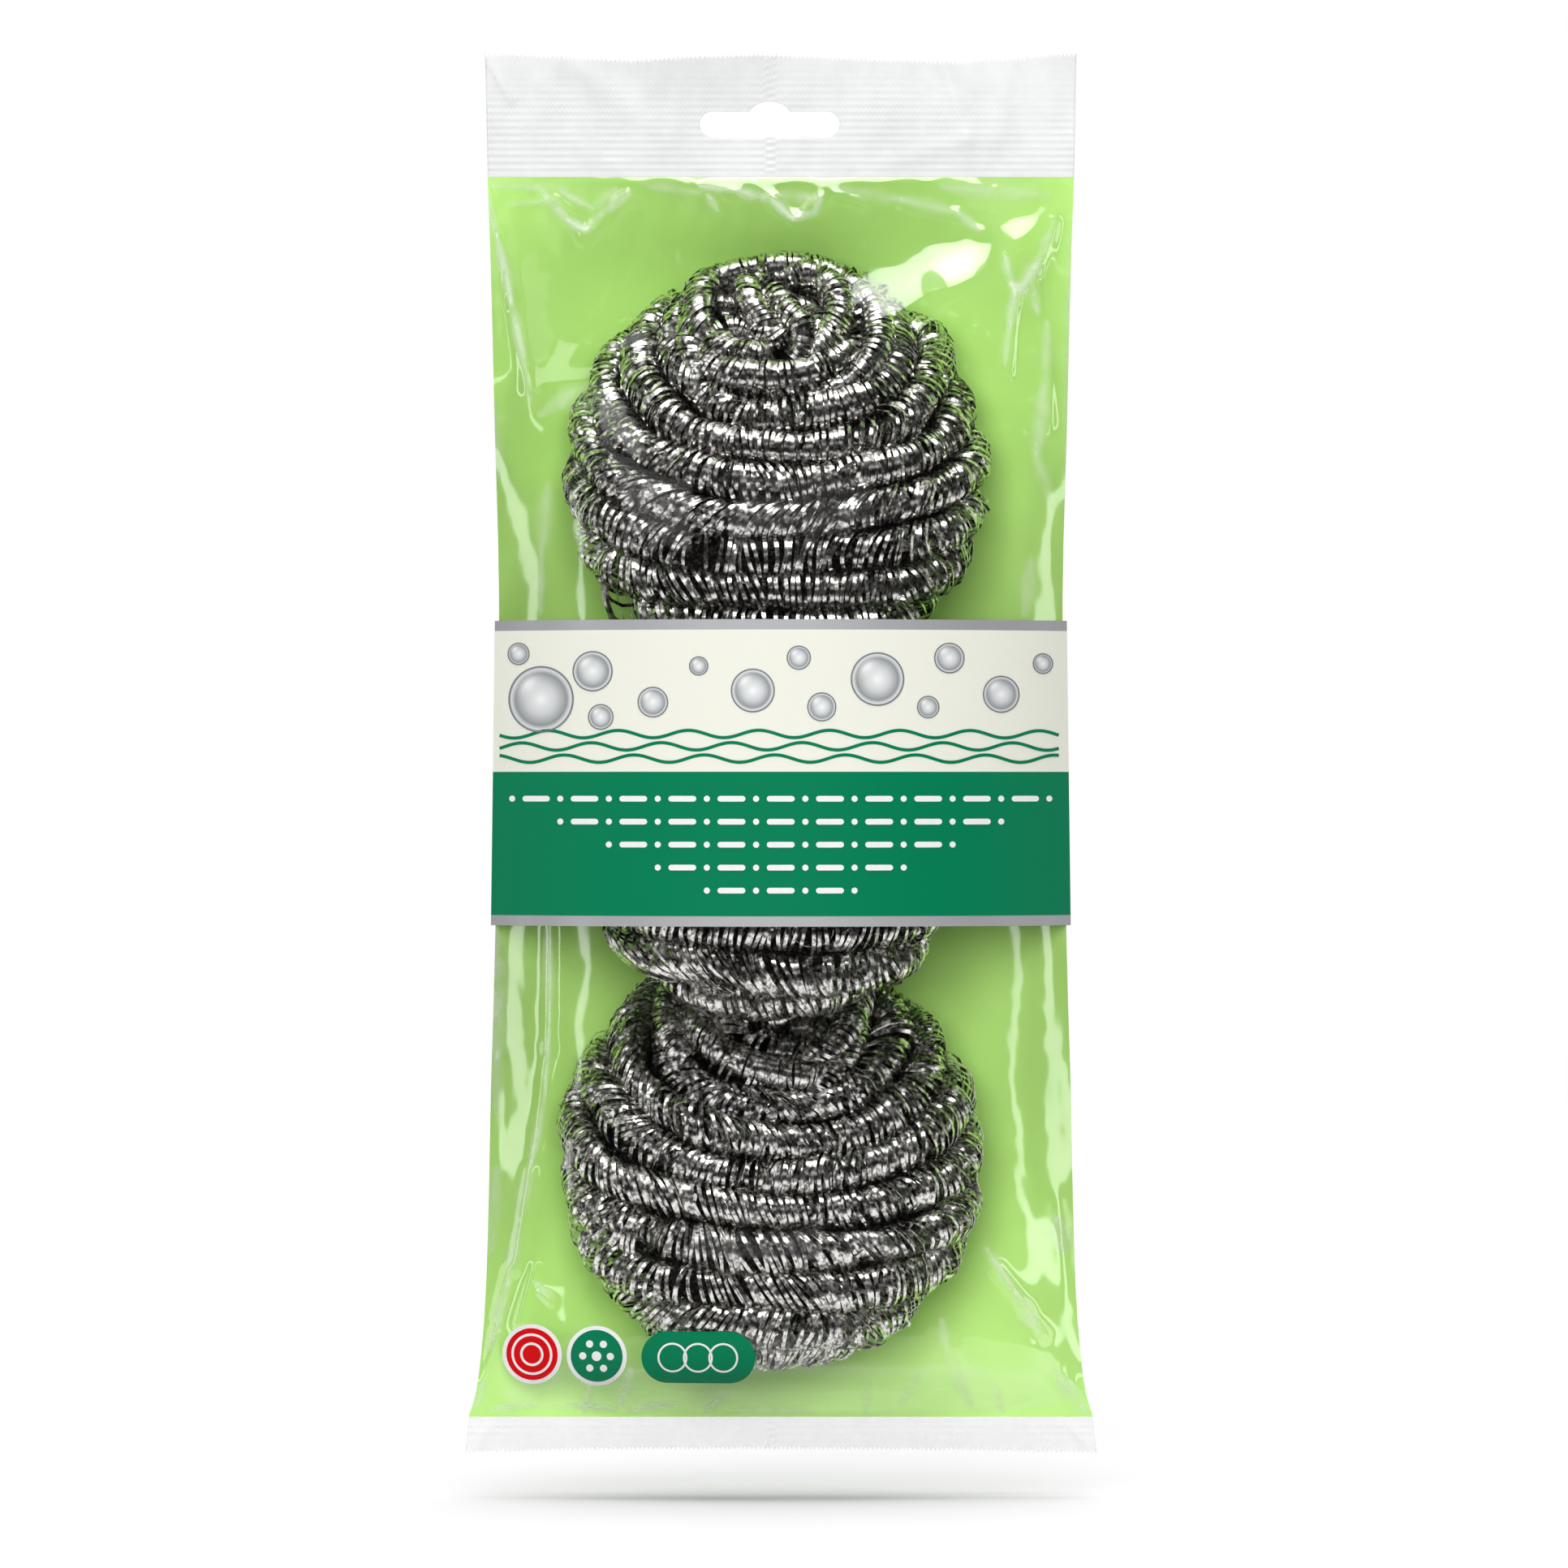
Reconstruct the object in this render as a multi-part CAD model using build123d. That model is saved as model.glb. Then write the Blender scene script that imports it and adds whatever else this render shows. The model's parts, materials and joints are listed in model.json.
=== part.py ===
from build123d import *
from math import cos, hypot, pi, radians, sin
import os

# A hanging retail pack of three stainless steel pot scrubbers.
# A film bag is crimped flat at the header and the foot, a card band is wrapped round its middle,
# and three flattened scrubbers lie inside it like roof tiles, each with its lower edge forward.
# Millimetres. +Z is up the pack, -Y is its front, and the origin is the middle of the hang slot.

# One scrubber: its half sizes, its rope, and the core and tie under it
scrubber_half_width = 43.0
scrubber_half_thickness = 17.5
scrubber_half_height = 45.5
scrubber_tilt = 22.0
rope_radius = 3.3
rope_gap = 2.1
rope_bend_slack = 0.7
rosette_angle = 38.0
rosette_radius = 5.6
core_gap = 1.6
pocket_gap = 0.5
tie_radius = 0.8
tie_gap = 0.12

# How the three lie in the bag: sideways from its middle, and what each leaves to the next
scrubber_shifts = (-1.0, -1.5, -2.1)
scrubber_laps = (1.7, 4.3)
header_room = 17.2
foot_room = 10.6
side_room = 14.8
depth_room = 1.2

# Film bag between the two seals
bag_offset = 2.3
film = 0.3
film_edge = 0.45
hinge_gap = 0.5
root_depth = 0.45
header_flare = 2.4
foot_flare = 6.2

# Header and foot, the flat crimped ends of the bag
header_above = 14.7
header_below = 10.9
header_lean = 0.5
foot_height = 7.4
foot_lean = 0.8
seal_thickness = 0.4
rib_pitch = 1.45
rib_height = 0.12
plain_margin = 1.0
tooth_pitch = 0.92
tooth_depth = 0.75

# Hang slot
slot_length = 28.8
slot_height = 5.2
notch_radius = 5.2
notch_rise = 2.1

# Seam down the back of the bag, folded flat to one side and crimped into both seals
seam_width = 11.0
seam_thickness = 0.4
seam_gap = 0.25
seam_ply = 0.2
seam_break = 2.2

# Card band, how far it slides, and its glued lap at the back
band_drop = 91.1
band_height = 62.5
band_card = 0.35
band_gap = 0.4
band_travel_up = 12.0
band_travel_down = 4.0
lap_width = 15.0
lap_place = 26.0

# One overrun serves every cut
overrun = 5.0

# Upper end of the bag, from the header to where it is full: how far along, how much of the
# header's flare is left, and how much of the depth is reached at the front and at the back
shoulder_shares = (
    (0.00, 1.00, 0.00, 0.00),
    (0.07, 0.90, 0.07, 0.30),
    (0.15, 0.80, 0.14, 0.62),
    (0.24, 0.71, 0.26, 0.87),
    (0.36, 0.60, 0.43, 0.98),
    (0.50, 0.48, 0.63, 1.00),
    (0.68, 0.31, 0.86, 1.00),
    (0.85, 0.12, 0.97, 1.00),
    (1.00, 0.03, 1.00, 1.00),
)

# Lower end of the bag, from where it begins to thin down to the foot: how far along, how much
# of the foot's flare is reached, and how much of the depth is left at the front and at the back
taper_shares = (
    (0.00, 0.22, 1.00, 1.00),
    (0.15, 0.28, 1.00, 0.98),
    (0.36, 0.33, 1.00, 0.85),
    (0.55, 0.39, 1.00, 0.64),
    (0.71, 0.47, 1.00, 0.42),
    (0.84, 0.60, 0.97, 0.24),
    (0.94, 0.77, 0.50, 0.10),
    (1.00, 1.00, 0.00, 0.00),
)
middle_flare_share = 0.07

bearing_steps = 4
length_samples = 60

# A tilted scrubber: how far it reaches up and forward, how far below its middle its front crown
# lies, and how far apart two of them touch
tilt_sine = sin(radians(scrubber_tilt))
tilt_cosine = cos(radians(scrubber_tilt))
reach_up = hypot(scrubber_half_height * tilt_cosine, scrubber_half_thickness * tilt_sine)
reach_forward = hypot(scrubber_half_thickness * tilt_cosine, scrubber_half_height * tilt_sine)
crown_drop = (scrubber_half_height**2 - scrubber_half_thickness**2) * tilt_sine * tilt_cosine / reach_forward
touching_pitch = 2 / hypot(tilt_sine / scrubber_half_thickness, tilt_cosine / scrubber_half_height)

# The bag that holds them
bag_top = -header_below
first_scrubber = bag_top - header_room - reach_up
second_scrubber = first_scrubber - touching_pitch - scrubber_laps[0]
third_scrubber = second_scrubber - touching_pitch - scrubber_laps[1]
scrubber_heights = (first_scrubber, second_scrubber, third_scrubber)
bag_bottom = third_scrubber - reach_up - foot_room
bag_half_depth = reach_forward + film + depth_room
waist_half_width = scrubber_half_width + side_room
header_root_half_width = waist_half_width + header_flare
foot_root_half_width = waist_half_width + foot_flare
band_top = bag_top - band_drop
band_bottom = band_top - band_height


# Outline of the bag


def bag_stations():
    """Height, half width, front depth and back depth of the bag at each station, from the top."""
    top = bag_top - hinge_gap
    bottom = bag_bottom + hinge_gap
    shoulder = first_scrubber - crown_drop
    taper = third_scrubber + crown_drop
    places = [(top + (shoulder - top) * along, flare, 0, *rest) for along, flare, *rest in shoulder_shares]
    places.append(((shoulder + taper) / 2, 0, middle_flare_share, 1, 1))
    places += [(taper + (bottom - taper) * along, 0, flare, *rest) for along, flare, *rest in taper_shares]
    swell = bag_half_depth - root_depth
    rows = []
    for height, upper, lower, front, back in places:
        half_width = waist_half_width + upper * header_flare + lower * foot_flare
        rows.append((height, half_width, root_depth + front * swell, root_depth + back * swell))
    return rows


def bag_half_width(height):
    """The bag's half width at a height, between the two stations that lie above and below it."""
    rows = bag_stations()
    for above, below in zip(rows, rows[1:]):
        if below[0] <= height:
            part = (above[0] - height) / (above[0] - below[0])
            return above[1] + part * (below[1] - above[1])
    return rows[-1][1]


# Crimped seals


def crimped_sheet(half_width, low, high, ribs_low, ribs_high):
    """A flat sheet across the pack that is folded into fine level ribs between two heights."""
    count = round((ribs_high - ribs_low) / rib_pitch)
    step = (ribs_high - ribs_low) / count
    heights = [low, ribs_low]
    for rib in range(count):
        heights += [ribs_low + (rib + 0.25) * step, ribs_low + (rib + 0.75) * step]
    heights += [ribs_high, high]
    lean = [0, 0] + [rib_height, -rib_height] * count + [0, 0]
    front = [(y - seal_thickness / 2, z) for y, z in zip(lean, heights)]
    back = [(y + seal_thickness / 2, z) for y, z in zip(lean, heights)]
    profile = Plane.YZ * make_face(Polyline(*front, *reversed(back), close=True))
    return Pos(-half_width, 0, 0) * extrude(profile, 2 * half_width)


def seam_ply_sheet(half_width, low, high, ribs_low, ribs_high):
    """The extra ply on the back of a seal, where the seam's flap is crimped in with the rest."""
    sheet = crimped_sheet(half_width, low, high, ribs_low, ribs_high)
    window = Pos(-seam_width / 2, 0, (low + high) / 2) * Box(seam_width, 2 * overrun, high - low)
    return Pos(0, seam_ply, 0) * (sheet & window)


def toothed_outline(root_half, tip_half, root, tip):
    """The front outline of a seal: straight at its root, flared sides, and a saw-tooth cut edge."""
    way = 1 if tip > root else -1
    count = round(2 * tip_half / tooth_pitch)
    step = 2 * tip_half / count
    points = [(-root_half, root), (-tip_half, tip - way * tooth_depth)]
    for tooth in range(count):
        left = -tip_half + tooth * step
        points += [(left + step / 2, tip), (left + step, tip - way * tooth_depth)]
    points.append((root_half, root))
    face = Plane.XZ * make_face(Polyline(*points, close=True))
    return Pos(0, overrun, 0) * extrude(face, 2 * overrun)


def rounded_root(half_width, root):
    """The rounded edge of a seal, on the fold line where the bag bends from it."""
    rod = Rot(0, 90, 0) * Cylinder(seal_thickness / 2, 2 * half_width)
    return Pos(0, 0, root) * rod


def hang_slot():
    """The hang hole: a long slot with a raised notch for the hook."""
    slot = SlotOverall(slot_length, slot_height)
    centre = slot_height / 2 + notch_rise - notch_radius
    notch = Pos(0, centre) * Circle(notch_radius)
    upper = Pos(0, notch_radius) * Rectangle(slot_length, 2 * notch_radius)
    outline = Plane.XZ * (slot + (notch & upper))
    return Pos(-bag_offset, overrun, 0) * extrude(outline, 2 * overrun)


def make_header():
    """The header: both plies crimped flat, toothed along the top and pierced by the hang slot."""
    tip_half = header_root_half_width + header_lean
    ribs = (bag_top + plain_margin, header_above - tooth_depth)
    sheet = crimped_sheet(tip_half, bag_top, header_above, *ribs)
    ply = seam_ply_sheet(tip_half, bag_top, header_above, *ribs)
    shown = Pos(0, 0, (bag_top + seam_break + header_above) / 2)
    shown *= Box(2 * tip_half, 2 * overrun, header_above - bag_top - seam_break)
    outline = toothed_outline(header_root_half_width, tip_half, bag_top, header_above)
    seal = (sheet + (ply & shown)) & outline
    return seal + rounded_root(header_root_half_width, bag_top) - hang_slot()


def make_foot():
    """The foot: the short crimped seal that closes the bag below, toothed along its lower edge."""
    tip_half = foot_root_half_width + foot_lean
    tip = bag_bottom - foot_height
    ribs = (tip + tooth_depth, bag_bottom - plain_margin)
    sheet = crimped_sheet(tip_half, tip, bag_bottom, *ribs)
    ply = seam_ply_sheet(tip_half, tip, bag_bottom, *ribs)
    shown = Pos(0, 0, (tip + bag_bottom - seam_break) / 2)
    shown *= Box(2 * tip_half, 2 * overrun, foot_height - seam_break)
    outline = toothed_outline(foot_root_half_width, tip_half, bag_bottom, tip)
    seal = (sheet + (ply & shown)) & outline
    return seal + rounded_root(foot_root_half_width, bag_bottom)


# Film panels


def arc_points(half_width, depth, side):
    """The two ends and the crown of a shallow arc, on the front (-1) or the back (+1) side."""
    return (-half_width, 0), (0, side * depth), (half_width, 0)


def film_panel(side):
    """The front (-1) or back (+1) film, one thin skin from the header to the foot."""
    sections = []
    for height, half_width, front, back in bag_stations():
        depth = front if side < 0 else back
        outer = ThreePointArc(*arc_points(half_width, depth, side))
        inner = ThreePointArc(*arc_points(half_width - film_edge, depth - film, side))
        ends = [Line(outer @ 0, inner @ 0), Line(outer @ 1, inner @ 1)]
        sections.append(Pos(0, 0, height) * make_face([outer, inner] + ends))
    return loft(sections)


def make_seam():
    """The back seam: the two cut edges of the film sealed together and laid flat to one side."""
    sections = []
    for height, half_width, front, back in bag_stations():
        radius = (half_width * half_width + back * back) / (2 * back)
        centre = back - radius
        rings = (radius + seam_gap, radius + seam_gap + seam_thickness)
        turn = seam_width / radius
        angles = (0, turn / 2, turn)
        corners = [[(-ring * sin(angle), centre + ring * cos(angle)) for angle in angles] for ring in rings]
        inner, outer = (ThreePointArc(*points) for points in corners)
        ends = [Line(outer @ 0, inner @ 0), Line(outer @ 1, inner @ 1)]
        sections.append(Pos(0, 0, height) * make_face([outer, inner] + ends))
    return loft(sections)


# Card band


def lens_face(half_width, front, back):
    """A level lens outline: one arc for the front and one for the back."""
    return make_face(
        [
            ThreePointArc(*arc_points(half_width, front, -1)),
            ThreePointArc(*arc_points(half_width, back, 1)),
        ]
    )


def band_lens(grow):
    """The solid lens that the band's inner face follows, grown by some thickness of card."""
    front = bag_half_depth + band_gap + grow
    back = front + seam_gap + seam_thickness
    faces = []
    for edge, travel in ((band_top, band_travel_up), (band_bottom, -band_travel_down)):
        half_width = bag_half_width(edge + travel) + band_gap + grow
        faces.append(Pos(0, 0, edge) * lens_face(half_width, front, back))
    return loft(faces, ruled=True)


def make_band():
    """The card band: a sleeve round the bag whose two ends are lapped and glued at the back."""
    sleeve = band_lens(band_card) - band_lens(0)
    lap = Box(lap_width, bag_half_depth, 2 * band_height)
    lap = Pos(lap_place, bag_half_depth, (band_top + band_bottom) / 2) * lap
    lapped = (band_lens(2 * band_card) - band_lens(band_card)) & lap
    return sleeve + lapped


# Scrubber


def on_sphere(bearing, polar):
    """A point of the unit sphere by its bearing round the rosette and its angle from it."""
    tip = radians(rosette_angle)
    pole = Vector(0, -cos(tip), sin(tip))
    down = Vector(0, -sin(tip), -cos(tip))
    side = Vector(1, 0, 0)
    level = down * cos(bearing) + side * sin(bearing)
    return pole * cos(polar) + level * sin(polar)


def on_rope_surface(bearing, polar):
    """The same point on the flattened ball that the middle of the rope follows."""
    unit = on_sphere(bearing, polar)
    return Vector(
        unit.X * (scrubber_half_width - rope_radius),
        unit.Y * (scrubber_half_thickness - rope_radius),
        unit.Z * (scrubber_half_height - rope_radius),
    )


def surface_normal(bearing, polar):
    """The outward direction of that ball at the same point."""
    unit = on_sphere(bearing, polar)
    return Vector(
        unit.X / (scrubber_half_width - rope_radius),
        unit.Y / (scrubber_half_thickness - rope_radius),
        unit.Z / (scrubber_half_height - rope_radius),
    ).normalized()


def meridian(bearing):
    """Angles from rosette to rosette on one bearing, and the distance covered at each."""
    angles = [pi * step / length_samples for step in range(length_samples + 1)]
    points = [on_rope_surface(bearing, angle) for angle in angles]
    covered = [0]
    for before, after in zip(points, points[1:]):
        covered.append(covered[-1] + (after - before).length)
    return angles, covered


def count_turns():
    """How many turns, in halves, fit between the two rosettes where they lie closest."""
    bearings = [2 * pi * step / length_samples for step in range(length_samples)]
    shortest = min(meridian(bearing)[1][-1] for bearing in bearings)
    pitch = 2 * rope_radius + rope_gap
    return int(2 * (shortest - 2 * rosette_radius) / pitch) / 2


def rope_place(turn):
    """Bearing and polar angle of the rope after so many turns from the near rosette."""
    bearing = 2 * pi * turn
    angles, covered = meridian(bearing)
    wanted = rosette_radius + turn / rope_turns * (covered[-1] - 2 * rosette_radius)
    for step in range(length_samples):
        if covered[step + 1] >= wanted:
            part = (wanted - covered[step]) / (covered[step + 1] - covered[step])
            return bearing, angles[step] + part * (angles[step + 1] - angles[step])
    return bearing, pi


def rope_point(turn):
    """The middle of the rope after so many turns."""
    return on_rope_surface(*rope_place(turn))


def rope_direction(turn):
    """The rope's direction after so many turns, from two points close beside it."""
    nudge = 1 / (bearing_steps * length_samples)
    before = rope_point(max(turn - nudge, 0))
    after = rope_point(min(turn + nudge, rope_turns))
    return (after - before).normalized()


def corner_arc(start, corner, end):
    """The arc between two points whose tangents meet at a corner."""
    weight = (end - start).length / ((corner - start).length + (end - corner).length)
    middle = (start + corner * (2 * weight) + end) * (1 / (2 + 2 * weight))
    return ThreePointArc(start, middle, end)


def two_arcs(start, start_way, end, end_way):
    """Two arcs that leave one point in one direction and reach another in another, smoothly joined."""
    chord = end - start
    spread = 2 * (1 - start_way.dot(end_way))
    along = chord.dot(start_way + end_way)
    reach = (-along + (along * along + spread * chord.dot(chord)) ** 0.5) / spread
    first = start + start_way * reach
    second = end - end_way * reach
    joint = (first + second) * 0.5
    return [corner_arc(start, first, joint), corner_arc(joint, second, end)]


def rope_end(turn, way):
    """The rope's end at a rosette: where it leaves the turns, its bend, its mouth and its tip."""
    point = rope_point(turn)
    direction = rope_direction(turn) * way
    outward = surface_normal(*rope_place(turn))
    outward = (outward - direction * outward.dot(direction)).normalized()
    bend = rope_radius + rope_bend_slack
    corner = point - direction * bend
    mouth = corner - outward * bend
    tip = mouth - outward * (2 * rope_radius)
    return point, corner, mouth, tip, outward


def rope_path():
    """The whole route: a straight tuck, the turns from rosette to rosette, and a straight tuck."""
    point, corner, mouth, tip, outward = rope_end(0, 1)
    edges = [Line(tip, mouth), corner_arc(mouth, corner, point)]
    steps = round(rope_turns * bearing_steps)
    turns = [rope_turns * step / steps for step in range(steps + 1)]
    places = [(rope_point(turn), rope_direction(turn)) for turn in turns]
    for before, after in zip(places, places[1:]):
        edges += two_arcs(*before, *after)
    point, corner, mouth, tip, outward = rope_end(rope_turns, -1)
    edges += [corner_arc(point, corner, mouth), Line(mouth, tip)]
    return edges


def least_gap(edges):
    """The least gap between two stretches of the rope that are more than a small turn apart."""
    samples = []
    run = 0
    for edge in edges:
        for share in (0, 0.25, 0.5, 0.75):
            samples.append((run + share * edge.length, edge @ share))
        run += edge.length
    near = 2 * pi * rosette_radius
    gaps = [(b - a).length for i, (s, a) in enumerate(samples) for t, b in samples[i + 1 :] if t - s > near]
    return min(gaps) - 2 * rope_radius


def make_rope():
    """The outer layer: one rope of coiled ribbon, wound from the near rosette round to the far one."""
    edges = rope_path()
    length = sum(edge.length for edge in edges)
    print(f"rope: {rope_turns} turns, {length:.1f} long, least gap to itself {least_gap(edges):.2f}")
    path = Wire(edges)
    start = Plane(origin=path @ 0, z_dir=path % 0)
    return sweep(start * Circle(rope_radius), path=path)


def rope_pocket(turn, way):
    """The hole that a rope end is tucked into."""
    point, corner, mouth, tip, outward = rope_end(turn, way)
    floor = tip - outward * pocket_gap
    bore = Circle(rope_radius + pocket_gap)
    depth = (mouth - floor).length + overrun
    return extrude(Plane(origin=floor, z_dir=outward) * bore, depth)


def core_half_sizes():
    """Half width, half thickness and half height of the core under the rope."""
    under = 2 * rope_radius + core_gap
    return scrubber_half_width - under, scrubber_half_thickness - under, scrubber_half_height - under


def tie_ring(radius):
    """A round ring half sunk in the surface of the core, across its middle."""
    half_width, half_thickness, half_height = core_half_sizes()
    sink = tie_radius / 2
    path = Ellipse(half_width - sink, half_thickness - sink).wire()
    start = Plane(origin=path @ 0, z_dir=path % 0)
    return sweep(start * Circle(radius), path=path)


def make_core():
    """The packed inner layers, with a pocket for each end of the rope and a groove for the tie."""
    ball = scale(Sphere(1), by=core_half_sizes())
    return ball - rope_pocket(0, 1) - rope_pocket(rope_turns, -1) - tie_ring(tie_radius + tie_gap)


def main():
    os.makedirs("parts", exist_ok=True)
    nodes = {
        "header": make_header(),
        "foot": make_foot(),
        "front_film": film_panel(-1),
        "back_film": film_panel(1),
        "back_seam": make_seam(),
        "card_band": make_band(),
    }
    pieces = {"rope": make_rope(), "core": make_core(), "tie": tie_ring(tie_radius)}
    for name, shift, height in zip(("top", "middle", "bottom"), scrubber_shifts, scrubber_heights):
        place = Pos(shift, 0, height) * Rot(-scrubber_tilt, 0, 0)
        for piece, solid in pieces.items():
            nodes[f"{name}_scrubber_{piece}"] = place * solid
    for name, solid in nodes.items():
        export_step(Pos(bag_offset, 0, 0) * solid, f"parts/{name}.step")


rope_turns = count_turns()
main()
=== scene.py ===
import json
import math

import bpy
import numpy as np
from mathutils import Matrix, Vector


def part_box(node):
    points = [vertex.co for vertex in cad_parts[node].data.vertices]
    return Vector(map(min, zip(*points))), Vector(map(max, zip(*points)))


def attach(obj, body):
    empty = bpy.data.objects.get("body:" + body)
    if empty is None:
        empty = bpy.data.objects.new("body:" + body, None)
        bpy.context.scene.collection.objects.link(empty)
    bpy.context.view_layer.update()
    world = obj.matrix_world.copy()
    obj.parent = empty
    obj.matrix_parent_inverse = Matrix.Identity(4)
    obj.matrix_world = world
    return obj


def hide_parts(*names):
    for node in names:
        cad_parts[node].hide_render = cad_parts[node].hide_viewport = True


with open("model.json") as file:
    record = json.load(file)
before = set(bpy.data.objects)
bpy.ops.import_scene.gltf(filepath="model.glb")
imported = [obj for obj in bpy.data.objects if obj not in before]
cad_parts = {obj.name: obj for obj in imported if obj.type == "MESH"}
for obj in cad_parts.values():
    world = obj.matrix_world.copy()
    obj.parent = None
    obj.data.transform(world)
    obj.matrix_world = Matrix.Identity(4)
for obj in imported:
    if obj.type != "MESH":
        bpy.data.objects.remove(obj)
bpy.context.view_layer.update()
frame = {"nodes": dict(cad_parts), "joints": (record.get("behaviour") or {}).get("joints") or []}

# A hanging film pack of three coiled steel scrubbers, with a printed card band round its middle.
# Metres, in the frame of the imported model: +Z up the pack, -Y its front, the hang slot at the origin.

MM = 0.001

# The photograph, which is 1932 pixels square, and how its pixels lie on the pack
PICTURE_SIDE = 1932
PIXELS_PER_METRE = 6000
SLOT_PIXEL = (948.3, 153.0)

# The card band's print: where cream meets dark green, and the silver line at each edge
BAND_BORDER = 2.1 * MM
BAND_SPLIT_ROW = 951

WHITE = (1, 1, 1, 1)


def across(pixel):
    """X of a column of the photograph, on the pack's middle plane."""
    return (pixel - SLOT_PIXEL[0]) / PIXELS_PER_METRE


def up(pixel):
    """Z of a row of the photograph, on the pack's middle plane."""
    return (SLOT_PIXEL[1] - pixel) / PIXELS_PER_METRE


BAND_SPLIT = up(BAND_SPLIT_ROW)


# Node building for materials


class Value:
    """A number inside a material. Sums, differences, products and quotients add Math nodes."""

    def __init__(self, finish, socket):
        self.finish = finish
        self.socket = socket

    def __add__(self, other):
        return self.finish.maths("ADD", self, other)

    def __sub__(self, other):
        return self.finish.maths("SUBTRACT", self, other)

    def __rsub__(self, other):
        return self.finish.maths("SUBTRACT", other, self)

    def __mul__(self, other):
        return self.finish.maths("MULTIPLY", self, other)

    def __truediv__(self, other):
        return self.finish.maths("DIVIDE", self, other)

    __radd__ = __add__
    __rmul__ = __mul__


class Finish:
    """One material, or the world, while it is made: its node tree and the steps that build it."""

    def __init__(self, name, world=False):
        self.owner = (bpy.data.worlds if world else bpy.data.materials).new(name)
        self.owner.use_nodes = True
        self.tree = self.owner.node_tree
        self.tree.nodes.clear()
        self.output = self.tree.nodes.new("ShaderNodeOutputWorld" if world else "ShaderNodeOutputMaterial")

    def node(self, kind, settings=None, sockets=None):
        """A node of one kind, with its settings made first and then its sockets set or linked."""
        node = self.tree.nodes.new(kind)
        for name, value in (settings or {}).items():
            if name == "stops":
                ramp = node.color_ramp
                while len(ramp.elements) > 1:
                    ramp.elements.remove(ramp.elements[-1])
                ramp.elements[0].position, ramp.elements[0].color = value[0]
                for position, colour in value[1:]:
                    ramp.elements.new(position).color = colour
            else:
                setattr(node, name, value)
        for name, value in (sockets or {}).items():
            self.feed(node.inputs[name], value)
        return node

    def feed(self, socket, value):
        """Sets a socket to a number or colour, or links another node's output to it."""
        if isinstance(value, Value):
            self.tree.links.new(value.socket, socket)
        elif isinstance(value, bpy.types.NodeSocket):
            self.tree.links.new(value, socket)
        else:
            socket.default_value = value

    def maths(self, operation, *values):
        node = self.node("ShaderNodeMath", {"operation": operation}, dict(enumerate(values)))
        return Value(self, node.outputs[0])

    def place(self):
        """The point being shaded, in the pack's frame."""
        return self.node("ShaderNodeTexCoord").outputs["Object"]

    def parts(self, vector):
        """X, Y and Z of a vector."""
        node = self.node("ShaderNodeSeparateXYZ", sockets={0: vector})
        return [Value(self, node.outputs[axis]) for axis in "XYZ"]

    def seen(self):
        """1 for what is looked at, also in a reflection or through film, and 0 for other light."""
        path = self.node("ShaderNodeLightPath").outputs
        camera, glossy, through = (Value(self, path[f"Is {kind} Ray"]) for kind in ("Camera", "Glossy", "Transmission"))
        return self.maths("MAXIMUM", self.maths("MAXIMUM", camera, glossy), through)

    def noise(self, vector, scale, detail=2.0):
        node = self.node("ShaderNodeTexNoise", sockets={"Vector": vector, "Scale": scale, "Detail": detail})
        return Value(self, node.outputs[0])

    def step(self, value, low, high):
        """Rises smoothly from 0 to 1 as a value goes from low to high."""
        sockets = {"Value": value, "From Min": low, "From Max": high}
        node = self.node("ShaderNodeMapRange", {"interpolation_type": "SMOOTHSTEP"}, sockets)
        return Value(self, node.outputs["Result"])

    def blend(self, factor, first, second):
        """A colour between two others."""
        node = self.node("ShaderNodeMix", {"data_type": "RGBA"})
        self.feed(node.inputs[0], factor)
        self.feed(node.inputs[6], first)
        self.feed(node.inputs[7], second)
        return node.outputs[2]

    def bump(self, height, strength, distance):
        sockets = {"Height": height, "Strength": strength, "Distance": distance}
        return self.node("ShaderNodeBump", sockets=sockets).outputs[0]

    def mix(self, factor, first, second):
        """A shader between two others."""
        node = self.node("ShaderNodeMixShader", sockets={0: factor})
        self.tree.links.new(first, node.inputs[1])
        self.tree.links.new(second, node.inputs[2])
        return node.outputs[0]

    def surface(self, sockets):
        return self.node("ShaderNodeBsdfPrincipled", sockets=sockets).outputs[0]

    def matte(self, tone):
        return self.node("ShaderNodeBsdfDiffuse", sockets={"Color": tone}).outputs[0]

    def glow(self, strength, kind="ShaderNodeEmission"):
        """Even white light, of a surface or of the world."""
        return self.node(kind, sockets={"Color": WHITE, "Strength": strength}).outputs[0]

    def close(self, shader):
        self.tree.links.new(shader, self.output.inputs["Surface"])
        return self.owner


def colour(red, green, blue):
    """A colour given in the 0 to 255 steps of a picture."""
    steps = [part / 255 for part in (red, green, blue)]
    linear = [part / 12.92 if part <= 0.04045 else ((part + 0.055) / 1.055) ** 2.4 for part in steps]
    return (*linear, 1.0)


# Finishes

PRINT_GREEN = colour(204, 254, 144)
PRINT_GREEN_DEEP = colour(194, 248, 128)
CARD_CREAM = colour(243, 244, 231)
CARD_GREEN = colour(0, 128, 86)
BADGE_RED = colour(226, 0, 12)
PAPER_WHITE = colour(250, 250, 250)


def steel_ribbon():
    """Bright rolled stainless ribbon, a little darker and rougher in places."""
    finish = Finish("steel_ribbon")
    vector = finish.place()
    patches = finish.noise(vector, 900, 2.0)
    metal = finish.blend(finish.step(patches, 0.34, 0.62), colour(120, 117, 112), colour(244, 242, 238))
    sockets = {"Base Color": metal, "Metallic": 1.0, "Roughness": patches * 0.14 + 0.17}
    return finish.close(finish.surface(sockets))


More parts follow.
